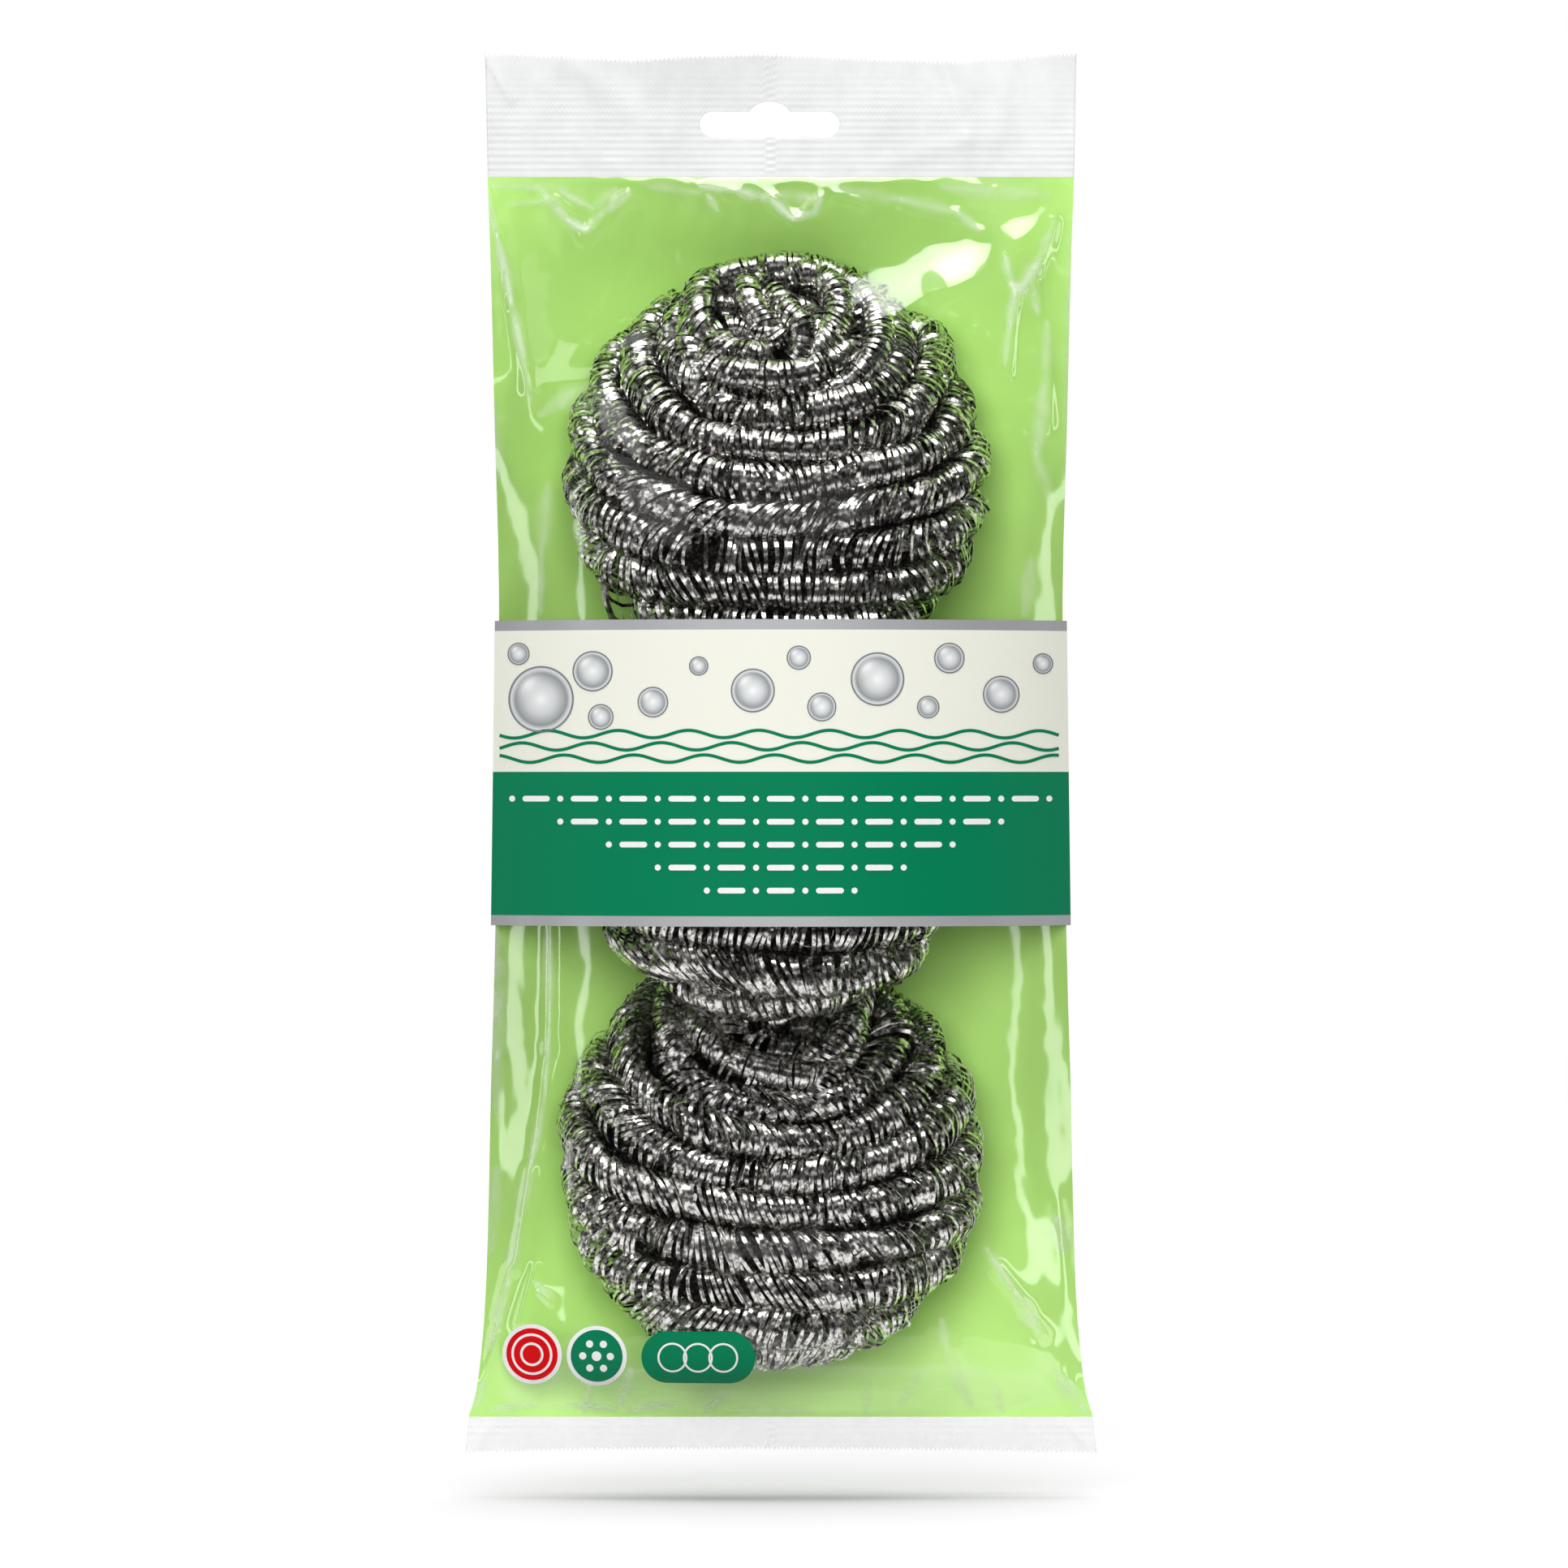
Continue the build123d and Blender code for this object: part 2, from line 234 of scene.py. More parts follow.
def steel_core():
    """The packed inside of a scrubber, seen between its ropes, painted near black: painted shade, since the steel
    inside is as bright as the ropes and is dark only from shade.
    """
    finish = Finish("steel_core")
    vector = finish.place()
    turns = finish.noise(vector, 1400, 3.0)
    tone = finish.blend(finish.step(turns, 0.45, 0.75), colour(14, 12, 10), colour(86, 82, 76))
    normal = finish.bump(turns, 0.8, 0.0006)
    sockets = {"Base Color": tone, "Metallic": 0.6, "Roughness": 0.5, "Normal": normal}
    return finish.close(finish.surface(sockets))


def clear_film():
    """Clear glossy film, which mirrors more at a slant and hardly shows face on. Along its creases it is painted milky
    white: partly crease whitening, partly painted highlights where the film would reflect the lamps.
    """
    finish = Finish("clear_film")
    vector = finish.place()
    ripple = finish.noise(vector, 60, 2.0)
    normal = finish.bump(ripple, 0.3, 0.0012)
    slant = finish.node("ShaderNodeFresnel", sockets={"IOR": 1.45, "Normal": normal})
    mirror = finish.maths("MINIMUM", Value(finish, slant.outputs[0]), 0.14)
    sockets = {"Base Color": WHITE, "Metallic": 1.0, "Roughness": 0.07, "Alpha": mirror, "Normal": normal}
    gloss = finish.surface(sockets)
    # Painted highlight: the film is mixed towards milky white by the crease share, which marks crease whitening and
    # also highlights where reflections of the lamps would fall; noise makes it patchy.
    crease = Value(finish, finish.node("ShaderNodeAttribute", {"attribute_name": "crease"}).outputs["Fac"])
    patchy_highlight = finish.step(finish.noise(vector, 260, 2.0), 0.25, 0.6) * 0.5 + 0.35
    milky = finish.surface({"Base Color": colour(252, 253, 250), "Roughness": 0.3, "Specular IOR Level": 0.3})
    return finish.close(finish.mix(crease * patchy_highlight, gloss, milky))


def printed_film():
    """Film printed light green on its inner side and laminated, so it is glossy on both."""
    finish = Finish("printed_film")
    vector = finish.place()
    cloud = finish.noise(vector, 14, 2.0)
    green = finish.blend(cloud, PRINT_GREEN, PRINT_GREEN_DEEP)
    ripple = finish.noise(vector, 70, 2.0)
    normal = finish.bump(ripple, 0.3, 0.001)
    sockets = {"Base Color": green, "Roughness": 0.15, "Specular IOR Level": 0.4, "Normal": normal}
    return finish.close(finish.surface(sockets))


def sealed_film(name, dim, bright, least):
    """Crimped film: both plies welded, milky, and a little see-through."""
    finish = Finish(name)
    vector = finish.place()
    cloud = finish.noise(vector, 90, 3.0)
    white = finish.blend(finish.step(cloud, 0.3, 0.7), dim, bright)
    normal = finish.bump(finish.noise(vector, 160, 2.0), 0.3, 0.0006)
    sockets = {"Base Color": white, "Roughness": 0.22, "Alpha": cloud * 0.2 + least, "Normal": normal}
    return finish.close(finish.surface(sockets))


def band_card():
    """Coated card: cream above, dark green below, and a silver line along each edge, painted lighter in the middle and
    darker towards the band's sides as a painted reflection.
    """
    finish = Finish("band_card")
    vector = finish.place()
    x, _, z = finish.parts(vector)
    low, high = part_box("card_band")[0][2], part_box("card_band")[1][2]
    soft = 0.08 * MM
    upper = finish.step(z, BAND_SPLIT - soft, BAND_SPLIT + soft)
    printed = finish.blend(upper, CARD_GREEN, CARD_CREAM)
    above = finish.step(z, low + BAND_BORDER - soft, low + BAND_BORDER + soft)
    below = 1 - finish.step(z, high - BAND_BORDER - soft, high - BAND_BORDER + soft)
    inside = above * below
    # Painted reflection: the silver lines are lighter in the middle of the band and darker towards its curved sides.
    painted_sheen_falloff = finish.step(finish.maths("ABSOLUTE", x), 8 * MM, 58 * MM)
    silver = finish.blend(painted_sheen_falloff, colour(196, 197, 200), colour(172, 174, 176))
    tone = finish.blend(inside, silver, printed)
    normal = finish.bump(finish.noise(vector, 900, 2.0), 0.08, 0.0002)
    sockets = {
        "Base Color": tone,
        "Metallic": 0.25 - inside * 0.25,
        "Roughness": inside * 0.1 + 0.3,
        "Specular IOR Level": 0.12,
        "Normal": normal,
    }
    return finish.close(finish.surface(sockets))


def ink(name, tone):
    """Printing ink, very slightly uneven."""
    finish = Finish(name)
    vector = finish.place()
    shade = finish.noise(vector, 400, 1.0)
    thin = tuple(0.93 * part for part in tone[:3]) + (1.0,)
    sockets = {"Base Color": finish.blend(shade, thin, tone), "Roughness": 0.35, "Specular IOR Level": 0.12}
    return finish.close(finish.surface(sockets))


def bubble_grey():
    """Silvery shading of the printed bubbles: darker towards the rim of each."""
    finish = Finish("bubble_grey")
    where = finish.node("ShaderNodeUVMap", {"uv_map": "rim"}).outputs[0]
    rim, glint, _ = finish.parts(where)
    stops = ((0.0, colour(250, 250, 250)), (0.45, colour(214, 217, 218)), (0.8, colour(150, 154, 156)),
             (0.93, colour(226, 228, 229)), (1.0, colour(118, 122, 124)))
    shade = finish.node("ShaderNodeValToRGB", {"stops": stops}, {"Fac": rim})
    lit = finish.blend(glint, shade.outputs[0], colour(252, 252, 252))
    sockets = {"Base Color": lit, "Roughness": 0.35, "Specular IOR Level": 0.12}
    return finish.close(finish.surface(sockets))


# Mesh helpers


def plain_mesh(name, points, faces):
    mesh = bpy.data.meshes.new(name)
    mesh.from_pydata(points, [], faces)
    return mesh


def placed(name, data):
    """A new object in the scene, from its mesh, lamp or camera."""
    thing = bpy.data.objects.new(name, data)
    bpy.context.scene.collection.objects.link(thing)
    return thing


def pick(piece):
    """Makes a piece the only one that the next operator works on."""
    bpy.ops.object.select_all(action="DESELECT")
    bpy.context.view_layer.objects.active = piece
    piece.select_set(True)


def new_piece(name, points, faces, material, body):
    """A mesh object at the origin from its points and faces, finished and riding on a body."""
    mesh = plain_mesh(name, [tuple(point) for point in points], faces)
    mesh.validate()
    mesh.materials.append(material)
    piece = placed(name, mesh)
    mesh.shade_smooth()
    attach(piece, body)
    return piece


def grid_faces(rows, columns, flip=False):
    """The four-sided faces of a grid of points, row by row."""
    faces = []
    for row in range(rows - 1):
        for column in range(columns - 1):
            corner = row * columns + column
            face = (corner, corner + 1, corner + 1 + columns, corner + columns)
            faces.append(face[::-1] if flip else face)
    return faces


def sheet_piece(name, points, material, body, flip=False):
    """A piece whose points are a grid, in rows down the pack."""
    faces = grid_faces(*points.shape[:2], flip)
    return new_piece(name, points.reshape(-1, 3), faces, material, body)


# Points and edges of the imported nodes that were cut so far
NODE_EDGES = {}


def level_cut(node, height):
    """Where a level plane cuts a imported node: the least and greatest X and Y there."""
    if node not in NODE_EDGES:
        mesh = frame["nodes"][node].data
        points = np.array([vertex.co for vertex in mesh.vertices])
        NODE_EDGES[node] = points, np.array([edge.vertices for edge in mesh.edges])
    points, edges = NODE_EDGES[node]
    one, two = points[edges[:, 0]], points[edges[:, 1]]
    crossing = (one[:, 2] - height) * (two[:, 2] - height) < 0
    one, two = one[crossing], two[crossing]
    part = (height - one[:, 2]) / (two[:, 2] - one[:, 2])
    cut = one + (two - one) * part[:, None]
    return cut[:, 0].min(), cut[:, 0].max(), cut[:, 1].min(), cut[:, 1].max()


# Bag film

BAG_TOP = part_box("front_film")[1][2]
BAG_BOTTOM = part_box("front_film")[0][2]
FOLD_LINES = {joint["name"]: joint["pos_m"][2] for joint in frame["joints"] if "pos_m" in joint}
HEADER_FOLD = FOLD_LINES["header_fold"]
FOOT_FOLD = FOLD_LINES["foot_fold"]


def bag_outline(count):
    """Heights down the bag with its left edge, right edge, front depth and back depth at each."""
    inset = 0.05 * MM
    heights = np.linspace(BAG_TOP - inset, BAG_BOTTOM + inset, count)
    front = np.array([level_cut("front_film", height) for height in heights])
    back = np.array([level_cut("back_film", height) for height in heights])
    rows = np.column_stack([heights, front[:, 0], front[:, 1], -front[:, 2], back[:, 3]])
    top, bottom = rows[0].copy(), rows[-1].copy()
    top[0], bottom[0] = HEADER_FOLD, FOOT_FOLD
    top[3:] = bottom[3:] = 0.1 * MM
    return np.vstack([top, rows, bottom])


def bag_surface(side, columns, rows):
    """Points of the front (-1) or back (+1) film and their outward directions, as grids."""
    outline = bag_outline(rows - 2)
    points = np.zeros((rows, columns, 3))
    normals = np.zeros((rows, columns, 3))
    shares = np.linspace(-1, 1, columns)
    for row, (height, left, right, front, back) in enumerate(outline):
        half, centre = (right - left) / 2, (right + left) / 2
        depth = front if side < 0 else back
        radius = (half * half + depth * depth) / (2 * depth)
        angles = shares * math.asin(min(half / radius, 1.0))
        points[row, :, 0] = centre + radius * np.sin(angles)
        points[row, :, 1] = side * (radius * np.cos(angles) - (radius - depth))
        points[row, :, 2] = height
        normals[row, :, 0] = np.sin(angles)
        normals[row, :, 1] = side * np.cos(angles)
    return points, normals


# Folds of the front film, from the photograph: two ends in its pixels, how wide the
# fold is in millimetres, and how far it stands out
FRONT_FOLDS = (
    # crinkles under the header
    (668, 226, 722, 288, 1.5, 0.55),
    (722, 288, 772, 240, 1.5, 0.55),
    (684, 246, 716, 266, 0.9, 0.30),
    (636, 253, 680, 247, 0.8, 0.25),
    (861, 226, 907, 236, 1.2, 0.50),
    (876, 246, 884, 258, 1.0, 0.45),
    (925, 226, 958, 250, 1.1, 0.35),
    (950, 244, 982, 272, 1.3, 0.60),
    (982, 272, 1010, 246, 1.2, 0.55),
    (1030, 240, 1062, 250, 1.1, 0.35),
    (1115, 248, 1180, 264, 1.3, 0.40),
    (1180, 264, 1206, 286, 1.3, 0.40),
    (1178, 226, 1228, 232, 1.2, 0.50),
    (1228, 232, 1224, 254, 1.1, 0.40),
    # the broad soft fold at the upper right, and its fainter match at the left
    (1108, 404, 1182, 362, 9.0, 2.60),
    (1182, 362, 1258, 306, 7.0, 2.00),
    (1258, 306, 1312, 258, 4.5, 1.50),
    (655, 492, 782, 440, 4.6, 0.70),
    # the forked crease at the right
    (1299, 275, 1273, 336, 1.4, 0.60),
    (1273, 336, 1248, 367, 1.4, 0.70),
    (1240, 319, 1247, 367, 1.2, 0.60),
    (1248, 367, 1240, 462, 1.5, 0.80),
    (1277, 352, 1278, 386, 1.2, 0.50),
    (1287, 404, 1292, 522, 1.8, 0.50),
    # the long crease down the left edge
    (601, 228, 616, 288, 1.3, 0.60),
    (616, 288, 632, 374, 1.4, 0.70),
    (632, 374, 654, 480, 1.6, 0.60),
    # below the band
    (678, 1142, 676, 1290, 1.4, 0.35),
    (676, 1290, 660, 1420, 1.4, 0.35),
    (655, 1440, 636, 1560, 1.5, 0.45),
    (660, 1560, 640, 1630, 1.1, 0.45),
    (628, 1565, 612, 1622, 1.2, 0.60),
    (610, 1640, 592, 1700, 1.3, 0.60),
    (668, 1588, 680, 1600, 1.0, 0.40),
    (1225, 1560, 1262, 1610, 1.5, 0.60),
    (1262, 1610, 1287, 1642, 1.3, 0.50),
    (1302, 1480, 1318, 1590, 2.4, 0.25),
    # pleats above the foot
    (1156, 1625, 1171, 1661, 1.8, 0.25),
    (1171, 1661, 1204, 1736, 2.0, 0.30),
    (1227, 1700, 1232, 1738, 1.6, 0.25),
    (1313, 1700, 1336, 1741, 1.8, 0.35),
    (721, 1733, 731, 1700, 1.8, 0.28),
    (766, 1722, 779, 1686, 1.8, 0.28),
    (872, 1736, 902, 1711, 1.8, 0.28),
    (1000, 1738, 1010, 1700, 1.8, 0.20),
    (1065, 1738, 1072, 1694, 1.8, 0.25),
    (1112, 1722, 1132, 1684, 2.4, 0.35),
)


# Where the front film is painted milky white along its creases, partly as crease whitening and partly
# as painted highlights where the film would reflect the lamps: two ends in pixels, width in millimetres,
# and how milky its middle is
FRONT_MILKY_HIGHLIGHTS = (
    # wrinkles under the header
    (600, 228, 700, 232, 0.8, 0.30),
    (668, 236, 700, 272, 1.0, 0.45),
    (700, 272, 722, 284, 1.0, 0.60),
    (722, 284, 742, 262, 1.0, 0.50),
    (742, 262, 776, 238, 1.2, 0.35),
    (690, 236, 730, 256, 0.7, 0.40),
    (730, 256, 760, 232, 0.8, 0.30),
    (626, 252, 690, 246, 0.6, 0.25),
    (790, 226, 862, 238, 1.0, 0.25),
    (862, 230, 905, 234, 0.8, 0.50),
    (872, 240, 884, 260, 0.8, 0.40),
    (905, 234, 950, 246, 1.0, 0.45),
    (950, 246, 976, 270, 0.9, 0.60),
    (976, 270, 1004, 262, 0.8, 0.50),
    (1004, 262, 1012, 240, 0.9, 0.40),
    (958, 240, 1000, 244, 1.2, 0.30),
    (1030, 232, 1110, 246, 1.2, 0.25),
    (1110, 246, 1180, 262, 1.3, 0.25),
    (1180, 262, 1206, 284, 1.0, 0.30),
    (1160, 230, 1290, 240, 1.6, 0.25),
    # the forked crease and the long streak at the right
    (1298, 276, 1280, 322, 0.9, 0.40),
    (1280, 322, 1262, 352, 1.3, 0.55),
    (1238, 318, 1246, 352, 0.9, 0.50),
    (1246, 352, 1262, 360, 1.3, 0.60),
    (1250, 362, 1243, 404, 1.0, 0.50),
    (1243, 404, 1238, 450, 0.7, 0.35),
    (1272, 352, 1278, 386, 0.9, 0.40),
    (1290, 398, 1288, 470, 1.0, 0.30),
    (1288, 470, 1276, 560, 1.6, 0.32),
    (1276, 560, 1294, 620, 1.3, 0.25),
    (1270, 690, 1262, 756, 1.6, 0.25),
    # the long crease and the pale edge at the left
    (600, 240, 612, 292, 0.8, 0.35),
    (612, 292, 630, 374, 1.0, 0.55),
    (630, 374, 646, 450, 1.0, 0.45),
    (646, 450, 655, 500, 0.7, 0.25),
    (666, 512, 720, 478, 1.3, 0.30),
    (676, 600, 668, 680, 1.5, 0.25),
    (668, 680, 667, 756, 0.8, 0.30),
    (594, 240, 603, 480, 0.9, 0.28),
    (603, 480, 616, 590, 1.2, 0.22),
    (1317, 290, 1315, 756, 0.8, 0.25),
    # the lower bag, left
    (608, 1142, 612, 1300, 2.4, 0.38),
    (612, 1300, 612, 1370, 1.4, 0.22),
    (676, 1142, 678, 1250, 0.9, 0.38),
    (678, 1250, 672, 1350, 0.6, 0.45),
    (672, 1350, 655, 1430, 0.8, 0.50),
    (655, 1430, 640, 1500, 1.4, 0.30),
    (612, 1440, 604, 1540, 1.6, 0.25),
    (640, 1500, 626, 1580, 1.0, 0.40),
    (626, 1580, 604, 1660, 1.2, 0.40),
    (660, 1578, 682, 1596, 1.0, 0.35),
    # the lower bag, right
    (1300, 1500, 1312, 1540, 1.8, 0.45),
    (1214, 1535, 1250, 1590, 1.0, 0.40),
    (1250, 1590, 1280, 1640, 1.5, 0.40),
    (1158, 1620, 1168, 1665, 0.9, 0.30),
    (1168, 1665, 1196, 1730, 1.4, 0.25),
    (1300, 1690, 1336, 1738, 1.6, 0.35),
    # pleats above the foot
    (604, 1736, 660, 1730, 0.8, 0.45),
    (596, 1700, 586, 1735, 0.8, 0.40),
    (720, 1738, 732, 1690, 0.9, 0.35),
    (764, 1730, 780, 1680, 1.0, 0.40),
    (700, 1730, 760, 1736, 0.7, 0.40),
    (774, 1737, 836, 1727, 0.8, 0.45),
    (868, 1738, 896, 1712, 0.9, 0.35),
    (900, 1736, 1000, 1738, 0.6, 0.30),
    (1066, 1738, 1072, 1700, 0.9, 0.25),
    (1110, 1728, 1130, 1690, 1.4, 0.25),
    (1226, 1706, 1234, 1738, 0.9, 0.30),
)


def beside_line(points, start_x, start_y, end_x, end_y):
    """How far along a line of the photograph each point lies, from 0 to 1, and how far from it."""
    start = np.array([across(start_x), up(start_y)])
    way = np.array([across(end_x), up(end_y)]) - start
    flat = points[..., [0, 2]] - start
    along = np.clip((flat @ way) / (way @ way), 0, 1)
    return along, np.linalg.norm(flat - along[..., None] * way, axis=-1)


def milky_highlight_shares(points, creases):
    """How milky each point of the film is, from the creases near it, which thin out at their ends: crease whitening and
    painted highlight together.
    """
    clear = np.ones(points.shape[:-1])
    for *line, width, share in creases:
        along, distance = beside_line(points, *line)
        taper = 0.45 + 0.55 * np.sin(math.pi * along)
        clear *= 1 - share * np.exp(-((distance / (width * taper * MM)) ** 2))
    return 1 - clear


def fold_heights(points, folds):
    """How far each point of the film stands out because of the folds near it."""
    lift = np.zeros(points.shape[:-1])
    for *line, width, height in folds:
        _, distance = beside_line(points, *line)
        lift += height * MM * np.exp(-((distance / (width * MM)) ** 2))
    return lift


def soft_waves(points, seed, reach, height):
    """Slow random waves over a sheet, all of about one length."""
    chance = np.random.default_rng(seed)
    lift = np.zeros(points.shape[:-1])
    for _ in range(9):
        turn = chance.uniform(0, 2 * math.pi)
        length = reach * chance.uniform(0.6, 1.6)
        phase = chance.uniform(0, 2 * math.pi)
        run = points[..., 0] * math.cos(turn) + points[..., 2] * math.sin(turn)
        lift += np.sin(2 * math.pi * run / length + phase)
    return lift * height / 3


def gathers(points, seed, height):
    """Small pleats that start at each seal and die away into the bag."""
    chance = np.random.default_rng(seed)
    lift = np.zeros(points.shape[:-1])
    for fold, reach in ((HEADER_FOLD, 9 * MM), (FOOT_FOLD, 8 * MM)):
        away = np.abs(points[..., 2] - fold)
        fade = np.exp(-away / reach) * (1 - np.exp(-away / (1.2 * MM)))
        for _ in range(5):
            length = chance.uniform(6, 15) * MM
            lean = chance.uniform(-0.6, 0.6)
            phase = chance.uniform(0, 2 * math.pi)
            lift += fade * np.sin(2 * math.pi * (points[..., 0] + lean * away) / length + phase)
    return lift * height / 2.5


# Where a film's relief fades out: over so many rows at each seal, and this share of each side
FADE_ROWS = 6
FADE_SHARE = 0.06


def faded(lift):
    """A film's relief, faded out towards its seals and its two side edges."""
    rows, columns = lift.shape
    sides = np.clip((1 - np.abs(np.linspace(-1, 1, columns))) / FADE_SHARE, 0, 1)
    steps = np.arange(rows)
    ends = np.clip(steps / FADE_ROWS, 0, 1) * np.clip((rows - 1 - steps) / FADE_ROWS, 0, 1)
    return (lift * sides * ends[:, None])[..., None]


def make_front_film(material):
    points, normals = bag_surface(-1, 220, 400)
    lift = fold_heights(points, FRONT_FOLDS)
    lift += soft_waves(points, 3, 30 * MM, 0.09 * MM)
    lift += gathers(points, 5, 0.30 * MM)
    points += normals * faded(lift)
    piece = sheet_piece("front_film_sheet", points, material, "bag")
    # The film's painted crease whitening and highlights, as a share at each point.
    layer = piece.data.attributes.new("crease", "FLOAT", "POINT")
    layer.data.foreach_set("value", milky_highlight_shares(points, FRONT_MILKY_HIGHLIGHTS).ravel())
    return piece, points


def make_back_film(material):
    points, normals = bag_surface(1, 160, 300)
    lift = soft_waves(points, 8, 22 * MM, 0.16 * MM) + gathers(points, 9, 0.35 * MM)
    points += normals * faded(lift)
    return sheet_piece("back_film_sheet", points, material, "bag", flip=True), points


# The seam flap: its points across and down, and the film's columns that it follows
SEAM_GRID = (24, 420)
SEAM_FILM_COLUMNS = 161
SEAM_WIDTH = 11 * MM
SEAM_STAND = 0.55 * MM
RIB_PITCH = 1.45 * MM


def make_seam(material):
    """The seam flap on the back: a soft strip that follows the back film, with a crimped face."""
    columns, rows = SEAM_GRID
    sheet, _ = bag_surface(1, SEAM_FILM_COLUMNS, rows)
    centre = sheet[:, SEAM_FILM_COLUMNS // 2, :]
    points = np.zeros((rows, columns, 3))
    for column in range(columns):
        run = -(column / (columns - 1)) * SEAM_WIDTH
        for row, line in enumerate(sheet):
            x = centre[row, 0] + run
            points[row, column] = [np.interp(x, line[:, 0], line[:, axis]) for axis in range(3)]
        ribs = np.sin(2 * math.pi * points[:, column, 2] / RIB_PITCH)
        points[:, column, 1] += SEAM_STAND + 0.12 * MM * ribs
    points[:, -1, 1] += 0.1 * MM
    piece = sheet_piece("back_seam_flap", points, material, "bag", flip=True)
    solidify(piece, 0.25 * MM)
    return piece


def solidify(piece, thickness):
    """Gives a sheet its thickness, inwards from its face."""
    pick(piece)
    modifier = piece.modifiers.new("thickness", "SOLIDIFY")
    modifier.thickness = thickness
    bpy.ops.object.modifier_apply(modifier=modifier.name)


# Crimped header and foot

SEAL_THICKNESS = 0.18 * MM
TOOTH_PITCH = 0.92 * MM
SEAM_COLUMN = 950

# The header's cut edge in the photograph, which waves a little: columns and rows of its pixels
HEADER_EDGE = ((595, 63), (640, 66), (700, 70), (780, 74), (850, 69), (930, 66), (1000, 68), (1080, 72),
               (1175, 75), (1240, 71), (1290, 66), (1322, 63))
# The foot's cut edge, lower at its corners
FOOT_EDGE = ((578, 1797), (600, 1793), (640, 1790), (700, 1787), (900, 1786), (1150, 1787), (1290, 1790),
             (1330, 1795), (1354, 1799))


# Creases of the header and the foot, told as for the front film
HEADER_FOLDS = (
    (596, 66, 630, 124, 0.9, 0.55),
    (700, 76, 822, 166, 3.2, 0.55),
    (815, 72, 806, 105, 2.0, 0.40),
    (1163, 76, 1192, 172, 1.8, 0.50),
    (1245, 74, 1228, 170, 2.4, 0.45),
    (700, 170, 760, 214, 2.4, 0.35),
    (1100, 200, 1190, 172, 2.0, 0.35),
)
FOOT_FOLDS = (
    (578, 1797, 604, 1750, 1.6, 0.60),
    (700, 1750, 716, 1788, 1.6, 0.30),
    (1129, 1748, 1137, 1790, 1.8, 0.50),
    (1313, 1748, 1352, 1798, 1.0, 0.60),
)


def crimped_end(node, fold, edge_pixels, folds, rows, seed):
    """One welded end of the bag as a sheet: ribbed across, saw-toothed along its cut edge."""
    low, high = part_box(node)
    outward = 1 if high[2] > fold + 5 * MM else -1
    columns = 2 * round((high[0] - low[0]) / TOOTH_PITCH) + 1
    shares = np.linspace(0, 1, columns)
    edge_x = np.array([across(x) for x, y in edge_pixels])
    edge_z = np.array([up(y) for x, y in edge_pixels])
    flare = (0.5 if outward > 0 else 0.8) * MM
    root_left, root_right = low[0] + flare, high[0] - flare
    points = np.zeros((rows, columns, 3))
    tips_x = low[0] + (high[0] - low[0]) * shares
    tips_z = np.interp(tips_x, edge_x, edge_z)
    tips_z = np.clip(tips_z, low[2], high[2]) - outward * 0.75 * MM * (np.arange(columns) % 2)
    for row in range(rows):
        part = row / (rows - 1)
        points[row, :, 0] = (root_left + (root_right - root_left) * shares) * (1 - part) + tips_x * part
        points[row, :, 2] = fold * (1 - part) + tips_z * part
    away = np.abs(points[..., 2] - fold)
    inside = np.clip((away - 0.8 * MM) / (0.6 * MM), 0, 1)
    on_seam = np.abs(points[..., 0] - across(SEAM_COLUMN)) < 1.0 * MM
    phase = 2 * math.pi * points[..., 2] / RIB_PITCH + 2.4 * on_seam
    ribs = np.where(on_seam, 0.20, 0.095) * MM * np.sin(phase)
    chance = np.random.default_rng(seed)
    flaw = np.interp(points[..., 0], np.linspace(low[0], high[0], 40), chance.uniform(0.4, 1.2, 40))
    points[..., 1] += ribs * inside * flaw
    curl = np.clip(away / (26 * MM), 0, 1) ** 1.5
    points[..., 1] += curl * soft_waves(points, seed + 1, 55 * MM, 0.9 * MM)
    points[..., 1] -= fold_heights(points, folds) * np.clip(away / (3 * MM), 0, 1)
    return points


def make_end(node, material, fold, edge_pixels, folds, rows, seed, flip=False):
    points = crimped_end(node, fold, edge_pixels, folds, rows, seed)
    piece = sheet_piece(f"{node}_sheet", points, material, f"{node}_flap", flip)
    solidify(piece, SEAL_THICKNESS)
    return piece


def arc(x, z, radius, start, sweep, steps):
    """Points of an arc in the header's plane."""
    angles = [start + sweep * step / steps for step in range(steps + 1)]
    return [(x + radius * math.cos(angle), z + radius * math.sin(angle)) for angle in angles]


def cut_hang_slot(piece):
    """Cuts the long slot and its raised notch through the header."""
    half_length, half_height = 14.4 * MM, 2.6 * MM
    notch_radius, notch_rise = 5.2 * MM, 2.1 * MM
    depth = 6 * MM
    quarter = math.pi / 2
    middle = half_height + notch_rise - notch_radius
    reach = math.acos((half_height - middle) / notch_radius)
    outline = arc(half_length - half_height, 0, half_height, -quarter, math.pi, 16)
    outline += arc(0, middle, notch_radius, quarter - reach, 2 * reach, 12)
    outline += arc(half_height - half_length, 0, half_height, quarter, math.pi, 16)
    count = len(outline)
    points = [(x, side * depth, z) for side in (-1, 1) for x, z in outline]
    faces = [tuple(range(count)), tuple(range(2 * count - 1, count - 1, -1))]
    for index in range(count):
        after = (index + 1) % count
        faces.append((after, index, count + index, count + after))
    cutter = placed("slot_cutter", plain_mesh("slot_cutter", points, faces))
    pick(piece)
    modifier = piece.modifiers.new("slot", "BOOLEAN")
    modifier.operation = "DIFFERENCE"
    modifier.solver = "EXACT"
    modifier.object = cutter
    bpy.ops.object.modifier_apply(modifier=modifier.name)
    bpy.data.objects.remove(cutter)


# Scrubbers

